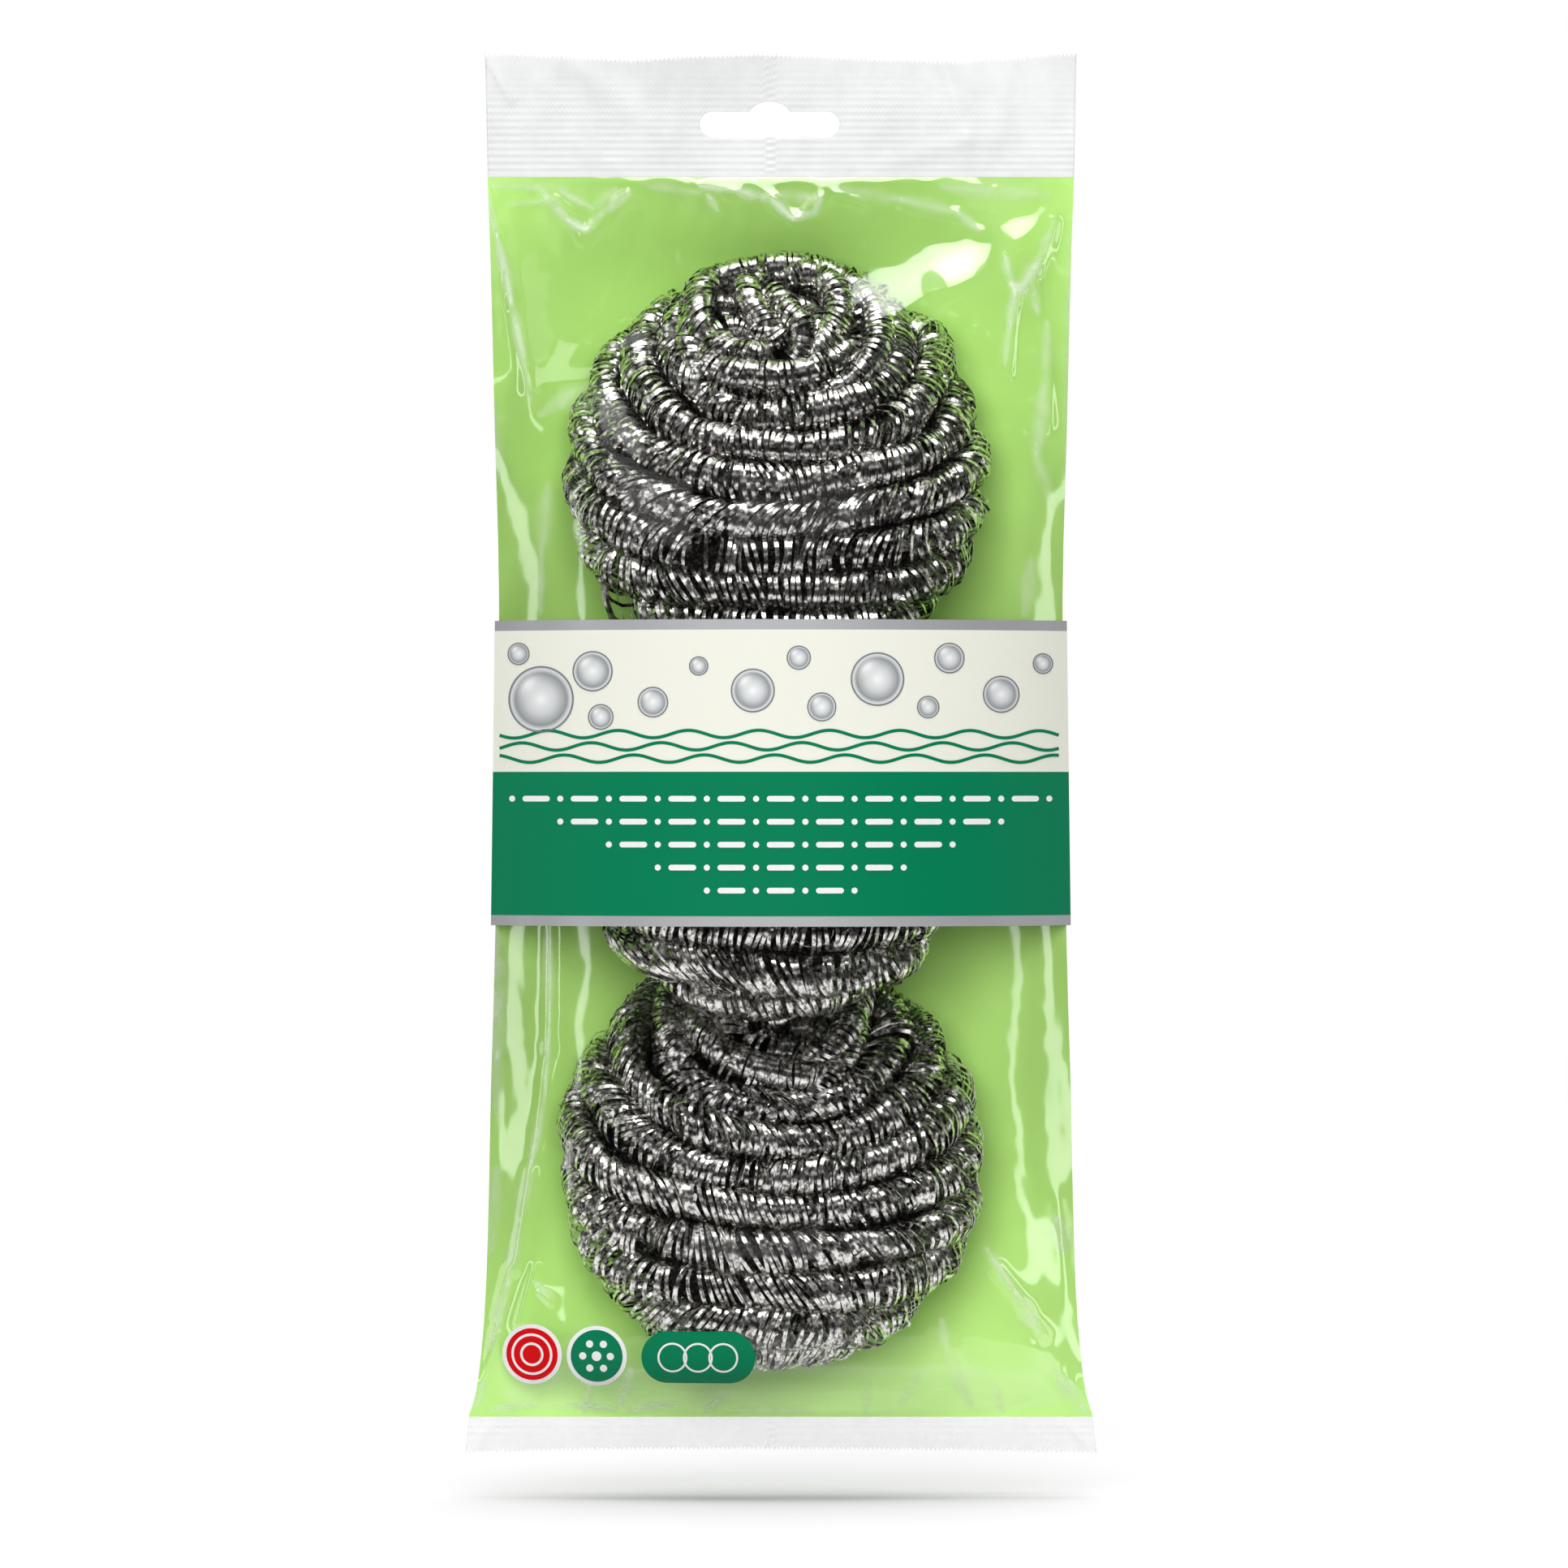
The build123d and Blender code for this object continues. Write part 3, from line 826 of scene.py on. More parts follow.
HALF_SIZES = np.array([43.0, 17.5, 45.5]) * MM
ROPE_RADIUS = 3.3 * MM
COIL_RADIUS = 4.15 * MM
ROPE_TURNS = 11
TILT = math.radians(22)
ROSETTE_ANGLE = math.radians(38)
ROSETTE_RADIUS = 5.6 * MM
RIBBON_WIDTH = 0.80 * MM
RIBBON_THICKNESS = 0.09 * MM
STEPS_PER_COIL = 14
KNOT_PITCH = 0.86 * MM

# Each scrubber: the seed of its random draws, its name, how far its knot is turned, and 1 or -1
# for the way that the knot winds
SCRUBBERS = ((41, "top", 0.0, 1), (42, "middle", 0.5, -1), (43, "bottom", -0.4, -1))

# The knot at the near rosette, from the top scrubber in the photograph: the rope's way there in
# pixels, and how far it stands out of the ball in millimetres
KNOT = (
    ((885, 344, 1.0), (861, 356, 3.0), (852, 383, 3.6), (855, 413, 3.4), (873, 438, 2.4), (893, 449, 0.8)),
    ((907, 337, 1.0), (912, 360, 3.2), (918, 387, 4.2), (934, 408, 4.0), (950, 422, 2.0)),
    ((932, 353, 1.5), (950, 376, 3.2), (964, 397, 4.6), (979, 415, 4.8), (982, 435, 3.6), (971, 454, 1.5)),
    ((950, 344, 1.2), (978, 342, 3.2), (1005, 351, 4.2), (1023, 374, 4.6), (1026, 401, 4.6),
     (1014, 426, 4.0), (994, 444, 2.6), (971, 454, 1.0)),
    ((857, 449, 0.8), (882, 463, 2.4), (914, 470, 3.0), (950, 472, 3.2), (989, 465, 3.0),
     (1021, 449, 2.6), (1046, 424, 1.2)),
    ((889, 426, 1.2), (907, 440, 2.6), (930, 447, 3.2), (950, 440, 2.6)),
    ((857, 360, -1.2), (893, 372, -0.4), (939, 367, 0.0), (984, 376, -0.4), (1030, 367, -1.2)),
    ((861, 410, -1.0), (899, 401, -0.2), (945, 413, 0.2), (996, 403, -0.2), (1039, 415, -1.2)),
    ((996, 390, 1.0), (1000, 410, 2.2), (989, 426, 2.0)),
    ((862, 472, 0.2), (844, 432, 1.2), (846, 388, 1.9), (868, 352, 2.3), (914, 336, 2.6),
     (965, 332, 2.8), (1012, 341, 2.8), (1050, 364, 2.8), (1072, 402, 2.8), (1068, 440, 2.4),
     (1040, 472, 1.6), (1000, 490, 0.6)),
)
KNOT_COIL_RADIUS = 3.2 * MM
KNOT_CENTRE = (948, 408)


def on_ball(bearings, polars):
    """Points of the flattened ball that the middle of the rope follows, and their outward ways."""
    pole = np.array([0, -math.cos(ROSETTE_ANGLE), math.sin(ROSETTE_ANGLE)])
    down = np.array([0, -math.sin(ROSETTE_ANGLE), -math.cos(ROSETTE_ANGLE)])
    side = np.array([1.0, 0, 0])
    level = np.cos(bearings)[..., None] * down + np.sin(bearings)[..., None] * side
    unit = np.cos(polars)[..., None] * pole + np.sin(polars)[..., None] * level
    middle = HALF_SIZES - ROPE_RADIUS
    outward = unit / middle
    return unit * middle, outward / np.linalg.norm(outward, axis=-1, keepdims=True)


def rope_route(first_turn, last_turn):
    """The rope's middle line and outward ways between two turns, counted from the near rosette."""
    turns = np.linspace(first_turn, last_turn, int(140 * (last_turn - first_turn)) + 2)
    angles = np.linspace(0, math.pi, 161)
    bearings = 2 * math.pi * turns
    walk, _ = on_ball(np.repeat(bearings[:, None], len(angles), 1), np.repeat(angles[None], len(turns), 0))
    covered = np.cumsum(np.linalg.norm(np.diff(walk, axis=1), axis=2), axis=1)
    covered = np.hstack([np.zeros((len(turns), 1)), covered])
    wanted = ROSETTE_RADIUS + turns / ROPE_TURNS * (covered[:, -1] - 2 * ROSETTE_RADIUS)
    polars = np.array([np.interp(want, line, angles) for want, line in zip(wanted, covered)])
    return on_ball(bearings, polars)


def wander(chance, count, spacing, amount):
    """Smooth random numbers, one for each coil, that change over some number of coils."""
    knots = int(count / spacing) + 3
    return np.interp(np.arange(count) / spacing, np.arange(knots), chance.normal(0, amount, knots))


def unit(vectors):
    return vectors / np.linalg.norm(vectors, axis=-1, keepdims=True)


def square_to(vectors, ways):
    """Unit vectors with what runs along other unit vectors taken out."""
    return unit(vectors - ways * np.sum(vectors * ways, axis=1, keepdims=True))


def strap(line, wide, thin):
    """Points and faces of a flat strip along a line, from its half width and half thickness."""
    rings = [line - wide + thin, line + wide + thin, line + wide - thin, line - wide - thin]
    starts = 4 * np.arange(len(line) - 1)[:, None]
    edges = ((0, 1), (1, 2), (2, 3), (3, 0))
    sides = [np.hstack([starts + a, starts + b, starts + 4 + b, starts + 4 + a]) for a, b in edges]
    last = 4 * (len(line) - 1)
    ends = [[0, 3, 2, 1], [last, last + 1, last + 2, last + 3]]
    return np.stack(rings, axis=1).reshape(-1, 3), np.concatenate(sides + [ends])


def ribbon_mesh(route, outward, pitch, chance, coil_radius, spread=1.0, loose_share=0.05):
    """Points and faces of a flat ribbon coiled round a route; some coils stand loose and aslant."""
    steps = np.linalg.norm(np.diff(route, axis=0), axis=1)
    run = np.concatenate([[0], np.cumsum(steps)])
    most = int(run[-1] / (0.55 * pitch)) + 2
    slack = wander(chance, most, 5, 1.0)
    limit = np.quantile(slack, 1 - loose_share) if loose_share else slack.max()
    loose = np.clip((slack - limit) / 0.5, 0, 1)
    uneven = wander(chance, most, 4, 0.18) + chance.normal(0, 0.20, most)
    pitches = pitch * np.clip(1 + spread * uneven, 0.55, 2.2)
    pitches *= 1 + 0.9 * loose
    ends = np.concatenate([[0], np.cumsum(pitches)])
    coils = int(np.searchsorted(ends, run[-1])) - 1
    loose = loose[:coils]
    radius = 1 + spread * (wander(chance, coils, 14, 0.10) + chance.normal(0, 0.06, coils)) + 0.18 * loose
    lean = spread * (wander(chance, coils, 6, 0.28) + chance.normal(0, 0.17, coils)) + 0.5 * loose
    slant = wander(chance, coils, 34, 0.55) + wander(chance, coils, 8, 0.22) + chance.normal(0, 0.16, coils)
    slant = spread * slant + 0.4 * loose
    twist = spread * chance.normal(0, 0.40, coils) + loose * chance.normal(0, 0.8, coils)
    place = np.arange(int((coils - 1) * STEPS_PER_COIL)) / STEPS_PER_COIL
    middles = np.arange(coils) + 0.5
    radius, lean, slant, twist = (
        np.interp(place, middles, values)[:, None] for values in (radius, lean, slant, twist)
    )
    along = np.interp(place, np.arange(len(ends)), ends)
    middle, out, way = (
        np.column_stack([np.interp(along, run, rows[:, axis]) for axis in range(3)])
        for rows in (route, outward, np.gradient(route, axis=0))
    )
    way = unit(way)
    out = square_to(out, way)
    side = np.cross(way, out)
    phase = (2 * math.pi * place)[:, None]
    spoke = np.cos(phase) * out + np.sin(phase) * side
    shift = lean * np.cos(phase) + slant * np.sin(phase)
    line = middle + coil_radius * radius * (spoke + shift * way)
    along = unit(np.gradient(line, axis=0))
    face = square_to(spoke, along)
    width = np.cross(along, face)
    wide = width * np.cos(twist) + face * np.sin(twist)
    thin = face * np.cos(twist) - width * np.sin(twist)
    return strap(line, wide * (RIBBON_WIDTH / 2), thin * (RIBBON_THICKNESS / 2))


def joined(parts):
    """Several sets of points and faces as one."""
    points, faces, first = [], [], 0
    for some_points, some_faces in parts:
        points.append(some_points)
        faces.append(some_faces + first)
        first += len(some_points)
    return np.vstack(points), np.vstack(faces)


def through(points, per_span=12):
    """A smooth line through given points."""
    points = np.array(points, float)
    before = np.vstack([2 * points[0] - points[1], points, 2 * points[-1] - points[-2]])
    line = []
    for index in range(1, len(before) - 2):
        a, b, c, d = before[index - 1: index + 3]
        for part in np.arange(per_span) / per_span:
            bend, twist = 2 * a - 5 * b + 4 * c - d, 3 * b - a - 3 * c + d
            line.append(0.5 * (2 * b + (c - a) * part + bend * part ** 2 + twist * part ** 3))
    return np.vstack(line + [points[-1]])


def lay_knot(turned, flip):
    """The knot's strands on the ball, in the scrubber's own frame before it is leaned back."""
    pole, out = on_ball(np.array([0.0]), np.array([0.0]))
    pole, out = pole[0], out[0]
    side, rise = np.array([1.0, 0, 0]), np.cross([1.0, 0, 0], out)
    rise = rise if rise[2] > 0 else -rise
    leaned = math.cos(TILT) * rise[2] - math.sin(TILT) * rise[1]
    strands = []
    for strand in KNOT:
        places = []
        for column, row, height in strand:
            right = (column - KNOT_CENTRE[0]) / PIXELS_PER_METRE * flip
            above = (KNOT_CENTRE[1] - row) / PIXELS_PER_METRE / abs(leaned)
            a = right * math.cos(turned) - above * math.sin(turned)
            b = right * math.sin(turned) + above * math.cos(turned)
            places.append(pole + side * a + rise * b + out * (height - 1.4) * MM)
        line = through(places)
        strands.append((line, np.repeat(out[None], len(line), 0)))
    return strands


def within_film(points, films, room=0.0):
    """Keeps steel inside the bag, with some room before the film: what lies beyond is pressed back."""
    for sheet, side in films:
        heights = sheet[:, 0, 2]
        rows = np.clip(np.searchsorted(-heights, -points[:, 2]), 1, len(heights) - 1)
        limit = np.zeros(len(points))
        for row in np.unique(rows):
            chosen = rows == row
            limit[chosen] = np.interp(points[chosen, 0], sheet[row, :, 0], sheet[row, :, 1])
        if side < 0:
            points[:, 1] = np.maximum(points[:, 1], limit + 0.15 * MM + room)
        else:
            points[:, 1] = np.minimum(points[:, 1], limit - 0.7 * MM - room)
    return points


def loose_loops(chance, count, route, outward):
    """Single turns of ribbon that have sprung out of the rope here and there."""
    parts = []
    for _ in range(count):
        index = int(chance.integers(len(route)))
        centre = route[index] + outward[index] * chance.uniform(0.3, 1.0) * MM
        first = outward[index] + chance.normal(0, 0.5, 3)
        first /= np.linalg.norm(first)
        second = np.cross(first, chance.normal(0, 1, 3))
        second /= np.linalg.norm(second)
        radius = chance.uniform(2.6, 4.6) * MM
        turns = np.linspace(0, chance.uniform(0.5, 1.0), 15) * 2 * math.pi
        line = centre + radius * (np.cos(turns)[:, None] * first + 0.75 * np.sin(turns)[:, None] * second)
        axis = np.cross(first, second)
        spoke = unit(line - centre)
        parts.append(strap(line, axis * RIBBON_WIDTH / 2, spoke * RIBBON_THICKNESS / 2))
    return parts


def make_scrubber(name, seed, ribbon, core, films, knot_turn, knot_flip):
    chance = np.random.default_rng(seed)
    low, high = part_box(f"{name}_scrubber_core")
    centre = (np.array(low) + np.array(high)) / 2
    lean = np.array([[1, 0, 0], [0, math.cos(TILT), math.sin(TILT)], [0, -math.sin(TILT), math.cos(TILT)]])

    def pressed(line, room):
        """A line in the scrubber's own frame, kept clear of the film."""
        return (within_film(line @ lean.T + centre, films, room) - centre) @ lean

    for part, first, last, pitch in (
        ("front", 0.75, 5.6, 1.22 * MM),
        ("inner", 0.75, 5.9, 1.35 * MM),
        ("back", 5.6, ROPE_TURNS, 1.22 * MM),
    ):
        route, outward = rope_route(first, last)
        route = route + np.column_stack([wander(chance, len(route), 13, 0.75 * MM) for _ in range(3)])
        route = pressed(route, COIL_RADIUS)
        reach = 0.80 * COIL_RADIUS if part == "inner" else COIL_RADIUS
        parts = [ribbon_mesh(route, outward, pitch, chance, reach)]
        if part == "front":
            for line, out in lay_knot(knot_turn, knot_flip):
                line = pressed(line, KNOT_COIL_RADIUS)
                parts.append(ribbon_mesh(line, out, KNOT_PITCH, chance, KNOT_COIL_RADIUS, 0.8, 0))
            left = route[:, 0] < -16 * MM
            parts += loose_loops(chance, 120, route[left], outward[left])
            parts += loose_loops(chance, 90, route, outward)
        elif part == "back":
            low_right = (route[:, 0] > 6 * MM) & (route[:, 1] < 6 * MM)
            parts += loose_loops(chance, 60, route[low_right], outward[low_right])
        points, faces = joined(parts)
        points = within_film(points @ lean.T + centre, films)
        piece = new_piece(f"{name}_scrubber_ribbon_{part}", points, faces.tolist(), ribbon, "bag")
        pick(piece)
        bpy.ops.object.shade_smooth_by_angle(angle=math.radians(50))
    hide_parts(f"{name}_scrubber_rope")
    # The core gets the near-black painted shade.
    finish_node(f"{name}_scrubber_core", core)
    finish_node(f"{name}_scrubber_tie", ribbon)


def finish_node(node, material):
    """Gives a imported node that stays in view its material."""
    piece = frame["nodes"][node]
    piece.data.materials.clear()
    piece.data.materials.append(material)


# Prints on the band and on the front film: shapes in the photograph's pixels, laid on the piece


class Print:
    """Flat printed shapes of one ink, gathered and then laid on the front of a piece."""

    def __init__(self):
        self.points = []
        self.faces = []
        self.marks = []

    def add(self, points, faces, marks=None):
        first = len(self.points)
        self.points += [tuple(point) for point in points]
        self.faces += [tuple(first + index for index in face) for face in faces]
        self.marks += marks if marks else [(0.0, 0.0)] * len(points)

    def line(self, points, width, closed=False):
        """A stroke of even width along a line."""
        points = np.array(points, float)
        if closed:
            points = np.vstack([points, points[:1]])
        way = np.gradient(points, axis=0)
        if closed:
            way[0] = way[-1] = points[1] - points[-2]
        way /= np.maximum(np.linalg.norm(way, axis=1, keepdims=True), 1e-9)
        across_way = np.column_stack([-way[:, 1], way[:, 0]]) * width / 2
        both = np.stack([points - across_way, points + across_way], axis=1).reshape(-1, 2)
        faces = [(2 * i, 2 * i + 1, 2 * i + 3, 2 * i + 2) for i in range(len(points) - 1)]
        self.add(both, faces)

    def ring(self, column, row, radius, width, start=0.0, end=1.0, steps=72):
        turns = np.linspace(start, end, max(int(steps * (end - start)), 6) + 1) * 2 * math.pi
        points = np.column_stack([column + radius * np.cos(turns), row + radius * np.sin(turns)])
        if end - start >= 1:
            self.line(points[:-1], width, closed=True)
        else:
            self.line(points, width)

    def disc(self, column, row, radius, steps=40, rings=5):
        points, faces, marks = [(column, row)], [], [(0.0, 0.0)]
        for ring in range(1, rings + 1):
            for step in range(steps):
                turn = 2 * math.pi * step / steps
                share = ring / rings
                points.append((column + radius * share * math.cos(turn), row + radius * share * math.sin(turn)))
                glint = max(0.0, math.cos(turn - 4.0)) ** 6 * max(0.0, 1 - abs(share - 0.6) / 0.3)
                marks.append((share, glint))
        for step in range(steps):
            after = (step + 1) % steps
            faces.append((0, 1 + after, 1 + step))
            for ring in range(rings - 1):
                a, b = 1 + ring * steps, 1 + (ring + 1) * steps
                faces.append((a + step, a + after, b + after, b + step))
        self.add(points, faces, marks)

    def bar(self, left, top, right, bottom, steps=24, rows=3):
        """A filled bar with round ends."""
        radius = (bottom - top) / 2
        columns = []
        for step in range(steps + 1):
            x = left + (right - left) * 0.5 * (1 - math.cos(math.pi * step / steps))
            inset = max(0.0, left + radius - x, x - (right - radius))
            columns.append((x, math.sqrt(max(radius ** 2 - inset ** 2, 0.01))))
        middle = (top + bottom) / 2
        points = [(x, middle + half * (2 * row / (rows - 1) - 1)) for x, half in columns for row in range(rows)]
        self.add(points, grid_faces(steps + 1, rows))

    def lay(self, name, carrier, lift, material, slot, body):
        """Drops the shapes on the carrier's front face and makes the piece."""
        points = []
        for column, row in self.points:
            start = Vector((across(column), -0.2, up(row)))
            hit, place, normal, _ = carrier.ray_cast(start, Vector((0, 1, 0)))
            if normal.y > 0:
                normal = -normal
            points.append(place + normal * lift if hit else Vector((start.x, 0, start.z)))
        piece = new_piece(name, points, self.faces, material, body)
        if any(mark != (0.0, 0.0) for mark in self.marks):
            layer = piece.data.uv_layers.new(name="rim")
            for loop in piece.data.loops:
                layer.data[loop.index].uv = self.marks[loop.vertex_index]
        mesh = piece.data
        if len(mesh.polygons) and sum(face.normal.y for face in mesh.polygons) > 0:
            mesh.flip_normals()
        return piece


# The print on the band, in pixels: bubbles over waves on the cream, and on the green rows of
# dashes and dots that narrow downward, each told by its row and its half length
BAND_MIDDLE = 962
WAVE_ROWS = (905, 920, 935)
WAVE_ENDS = (616, 1304)
MARK_STEP = 30
DASH_ROWS = ((984, 330), (1012, 270), (1040, 210), (1068, 150), (1096, 90))
BUBBLES = ((668, 862, 40), (732, 828, 24), (742, 884, 15), (640, 806, 13), (806, 866, 18),
           (862, 822, 11), (928, 852, 26), (984, 812, 14), (1012, 872, 17), (1080, 838, 32),
           (1142, 872, 13), (1168, 812, 18), (1232, 856, 22), (1284, 818, 12))

# The badges on the film: two discs, and a pill with three rings
BADGE_ROW = 1666
RED_BADGE, GREEN_BADGE = 657, 737
PILL_LEFT, PILL_RIGHT = 792, 931
BADGE_RADIUS = 32
RIM_RADIUS = 37

# How far each layer of ink stands off what it is printed on
BAND_INK, BAND_OVERPRINT = 0.08 * MM, 0.11 * MM
FILM_WHITE, FILM_INK, FILM_MARKS = 0.10 * MM, 0.14 * MM, 0.18 * MM


def make_prints(front):
    band = frame["nodes"]["card_band"]
    dark_green = ink("ink_dark_green", CARD_GREEN)
    white = ink("ink_white", PAPER_WHITE)
    red = ink("ink_red", BADGE_RED)

    on_cream = Print()
    first = WAVE_ENDS[0]
    x = np.linspace(*WAVE_ENDS, 260)
    for row in WAVE_ROWS:
        on_cream.line(np.column_stack([x, row + 4.5 * np.sin((x - first) * 2 * math.pi / 86 + row)]), 4.0)
    on_cream.lay("band_print_green", band, BAND_INK, dark_green, "card", "band")

    on_green = Print()
    for row, half in DASH_ROWS:
        count = int(half // MARK_STEP)
        for step in range(-count, count + 1):
            column = BAND_MIDDLE + MARK_STEP * step
            if step % 2:
                on_green.disc(column, row, 3.8, 14, 2)
            else:
                on_green.bar(column - 17, row - 3.5, column + 17, row + 3.5)
    on_green.lay("band_print_white", band, BAND_INK, white, "card", "band")

    bubbles, rims = Print(), Print()
    for column, row, radius in BUBBLES:
        bubbles.disc(column, row, radius, 40, 8)
        rims.ring(column, row, radius, 1.6)
    bubbles.lay("band_print_bubbles", band, BAND_INK, bubble_grey(), "card", "band")
    grey = ink("ink_grey", colour(126, 131, 134))
    rims.lay("band_print_bubble_rims", band, BAND_OVERPRINT, grey, "card", "band")

    backs, dark, warm, marks = Print(), Print(), Print(), Print()
    for column in (RED_BADGE, GREEN_BADGE):
        backs.disc(column, BADGE_ROW, RIM_RADIUS, 48, 10)
    dark.bar(PILL_LEFT, BADGE_ROW - BADGE_RADIUS, PILL_RIGHT, BADGE_ROW + BADGE_RADIUS, 48, 17)
    dark.disc(GREEN_BADGE, BADGE_ROW, BADGE_RADIUS, 48, 10)
    warm.disc(RED_BADGE, BADGE_ROW, BADGE_RADIUS, 48, 10)
    for step in range(3):
        marks.ring(830 + 31 * step, BADGE_ROW, 17, 2.4)
    for step in range(6):
        turn = step * math.pi / 3
        marks.disc(GREEN_BADGE + 17 * math.cos(turn), BADGE_ROW + 17 * math.sin(turn), 4.5, 16, 2)
    marks.disc(GREEN_BADGE, BADGE_ROW, 6, 16, 2)
    for radius in (24, 13):
        marks.ring(RED_BADGE, BADGE_ROW, radius, 3.0)
    backs.lay("film_print_white", front, FILM_WHITE, white, "printed_film", "bag")
    dark.lay("film_print_green", front, FILM_INK, dark_green, "printed_film", "bag")
    warm.lay("film_print_red", front, FILM_INK, red, "printed_film", "bag")
    marks.lay("film_print_marks", front, FILM_MARKS, white, "printed_film", "bag")


# Stage

FLOOR_ROW = 1843
FLOOR_SEEN = (0.78, 0.765, 0.79, 1.0)
FLOOR_GLOW = 0.15
FLOOR_LIT = (0.42, 0.42, 0.42, 1.0)
MIDDLE = Vector((0, 0, up(PICTURE_SIDE / 2)))

# Soft light from far away: its way in, the share of a facing surface's colour that it gives, and
# its spread in degrees
WIDE_LIGHTS = {
    "overhead_back": ((0.02, 0.24, 1.0), 0.48, 34),
    "overhead_front": ((0.02, -0.18, 1.0), 0.44, 34),
    "front_fill": ((-0.10, -0.95, 0.16), 0.82, 50),
}
# Lamps that only reflections see. A box has its azimuth and elevation in degrees, its distance,
# width, height and brightness; a strip has the azimuth and elevation of both its ends, its width
# and its brightness, and stands at the strips' distance.
SOFT_BOXES = {
    "top_box": (2, 70, 0.62, 0.50, 0.26, 1.5),
    "upper_left_box": (-40, 54, 0.66, 0.26, 0.14, 2.4),
    "upper_right_box": (13, 67, 0.60, 0.24, 0.18, 9.0),
    "left_box": (-49, 34, 0.62, 0.18, 0.09, 3.5),
    "left_front_box": (-37, 20, 0.62, 0.26, 0.17, 1.2),
    "front_box": (6, 21, 0.90, 0.60, 0.20, 0.6),
}
STRIPS = {
    "left_strip": (-62, 14, -63, -7, 0.024, 6.0),
    "far_left_strip": (-82, 26, -82, -22, 0.050, 2.0),
    "right_strip": (69, 2, 78, -17, 0.030, 3.2),
    "far_right_strip": (84, 26, 88, -22, 0.045, 2.0),
}
STRIP_DISTANCE = 0.62
WORLD_LIT, WORLD_SEEN = 0.12, 1.0


def make_floor():
    """A white floor that keeps the pack's shadow."""
    bpy.ops.object.select_all(action="DESELECT")
    bpy.ops.mesh.primitive_circle_add(vertices=96, radius=3.0, fill_type="NGON", location=(0, 0, up(FLOOR_ROW)))
    floor = bpy.context.object
    floor.name = "floor"
    finish = Finish("floor_white")
    layers = {0: finish.matte(FLOOR_SEEN), 1: finish.glow(FLOOR_GLOW)}
    shown = finish.node("ShaderNodeAddShader", sockets=layers).outputs[0]
    floor.data.materials.append(finish.close(finish.mix(finish.seen(), finish.matte(FLOOR_LIT), shown)))


def make_dark_screen():
    """A black screen round and over the camera's side of the set, which only reflections see."""
    foot = up(FLOOR_ROW) + 1 * MM
    profile = ((0.34, foot), (1.15, foot), (1.15, 0.80), (0.95, 1.10), (0.62, 1.25))
    points = []
    steps = 28
    for step in range(steps + 1):
        angle = math.radians(-98 + 196 * step / steps)
        points += [(reach * math.sin(angle), -reach * math.cos(angle), height) for reach, height in profile]
    mesh = plain_mesh("dark_screen", points, grid_faces(steps + 1, len(profile)))
    screen = placed("dark_screen", mesh)
    black = Finish("screen_black")
    mesh.materials.append(black.close(black.glow(0.02)))
    screen.visible_camera = False
    screen.visible_diffuse = False
    screen.visible_shadow = False
    screen.visible_transmission = False


def toward(azimuth, elevation, distance):
    """A place round the pack's middle: azimuth 0 is in front of it, and plus is to its right."""
    turn, rise = math.radians(azimuth), math.radians(elevation)
    flat = distance * math.cos(rise)
    return Vector((flat * math.sin(turn), -flat * math.cos(turn), MIDDLE.z + distance * math.sin(rise)))


def aim(lamp, place, target):
    lamp.location = place
    lamp.rotation_euler = (target - place).to_track_quat("-Z", "Y").to_euler()


def area_lamp(name, width, height, brightness):
    """A rectangular lamp that only reflections see, given by how bright its face looks."""
    data = bpy.data.lights.new(name, "AREA")
    data.shape = "RECTANGLE"
    data.size, data.size_y = width, height
    data.energy = brightness * math.pi * width * height
    lamp = placed(name, data)
    lamp.visible_diffuse = False
    return lamp


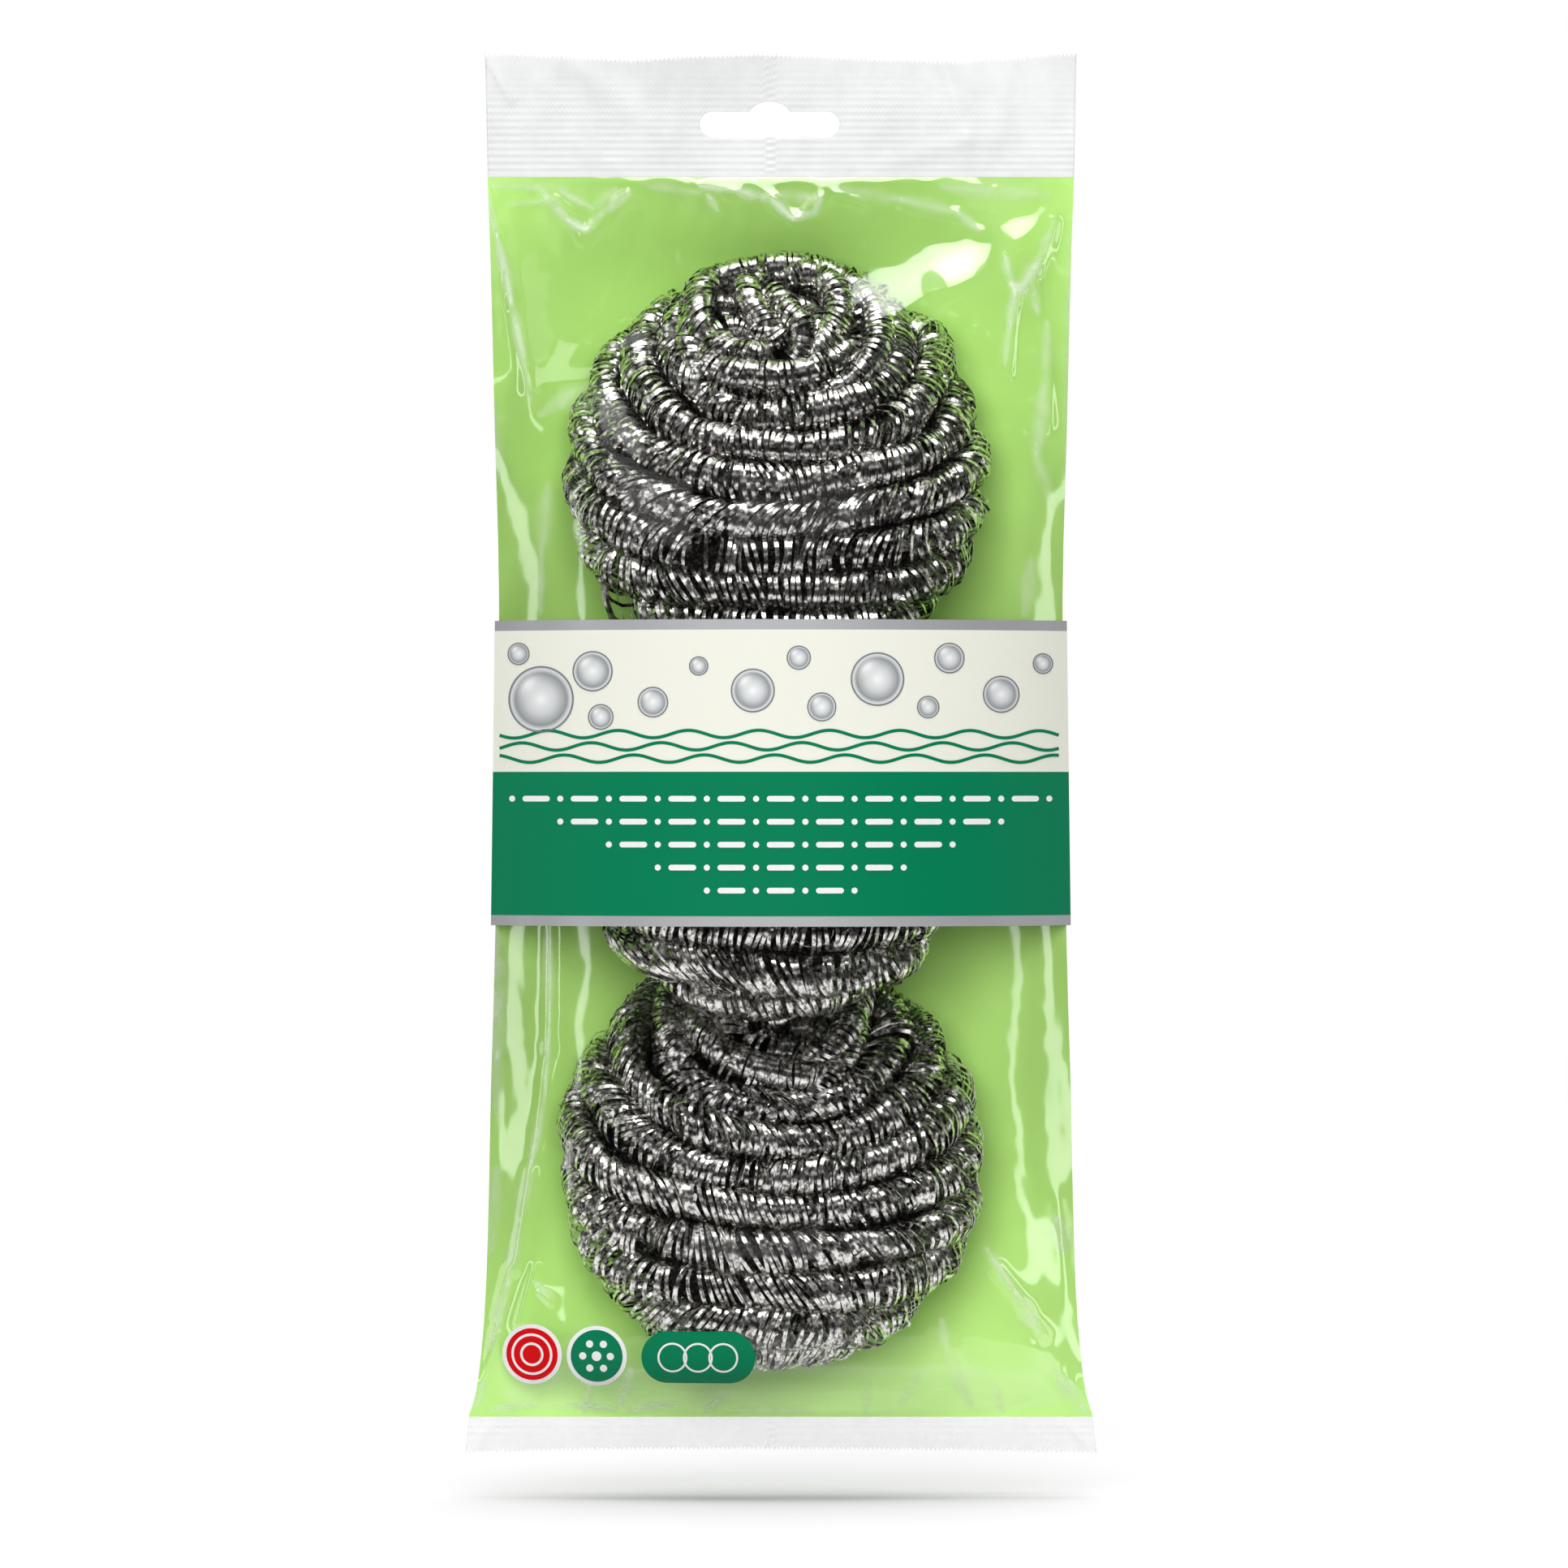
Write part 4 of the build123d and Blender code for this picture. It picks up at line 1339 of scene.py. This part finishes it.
def make_lights():
    for name, (place, share, spread) in WIDE_LIGHTS.items():
        data = bpy.data.lights.new(name, "SUN")
        data.energy = share * math.pi
        data.angle = math.radians(spread)
        lamp = placed(name, data)
        lamp.visible_glossy = False
        aim(lamp, Vector(place), Vector((0, 0, 0)))
    for name, (azimuth, elevation, distance, *face) in SOFT_BOXES.items():
        aim(area_lamp(name, *face), toward(azimuth, elevation, distance), MIDDLE)
    for name, (*ends, width, brightness) in STRIPS.items():
        top, bottom = toward(*ends[:2], STRIP_DISTANCE), toward(*ends[2:], STRIP_DISTANCE)
        middle, along = (top + bottom) / 2, (top - bottom).normalized()
        away = middle - MIDDLE
        away = (away - along * away.dot(along)).normalized()
        lamp = area_lamp(name, width, (top - bottom).length, brightness)
        lamp.location = middle
        lamp.rotation_euler = Matrix((along.cross(away), along, away)).transposed().to_euler()
    studio = Finish("studio", world=True)
    lit, shown = (studio.glow(strength, "ShaderNodeBackground") for strength in (WORLD_LIT, WORLD_SEEN))
    bpy.context.scene.world = studio.close(studio.mix(studio.seen(), lit, shown))


def make_camera():
    """Straight on, from far enough that the picture's edges run parallel as in the photograph."""
    distance = 2.4
    centre = PICTURE_SIDE / 2
    data = bpy.data.cameras.new("camera")
    data.lens = data.sensor_width * distance / (PICTURE_SIDE / PIXELS_PER_METRE)
    data.clip_end = 20
    camera = placed("camera", data)
    camera.location = (across(centre), -distance, up(centre))
    camera.rotation_euler = (math.pi / 2, 0, 0)
    bpy.context.scene.camera = camera


def main():
    bpy.context.scene.view_settings.view_transform = "Standard"
    make_camera()
    make_lights()
    make_floor()
    make_dark_screen()
    clear, printed = clear_film(), printed_film()
    front, front_points = make_front_film(clear)
    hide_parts("front_film")
    back, back_points = make_back_film(printed)
    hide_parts("back_film")
    seam = make_seam(printed)
    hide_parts("back_seam")
    film = sealed_film("header_film", colour(243, 244, 244), colour(250, 251, 251), 0.62)
    header = make_end("header", film, HEADER_FOLD, HEADER_EDGE, HEADER_FOLDS, 110, 21)
    cut_hang_slot(header)
    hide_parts("header")
    # The foot's copy of the sealed film is painted lighter and made more see-through than the header's: painted light
    # that makes up for the shade the foot gets near the floor.
    film = sealed_film("foot_film_painted_lighter", colour(250, 251, 251), colour(255, 255, 255), 0.26)
    foot = make_end("foot", film, FOOT_FOLD, FOOT_EDGE, FOOT_FOLDS, 44, 31, flip=True)
    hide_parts("foot")
    finish_node("card_band", band_card())
    ribbon, core = steel_ribbon(), steel_core()
    films = ((front_points, -1), (back_points, 1))
    for seed, name, turned, flip in SCRUBBERS:
        make_scrubber(name, seed, ribbon, core, films, turned, flip)
    make_prints(front)


main()
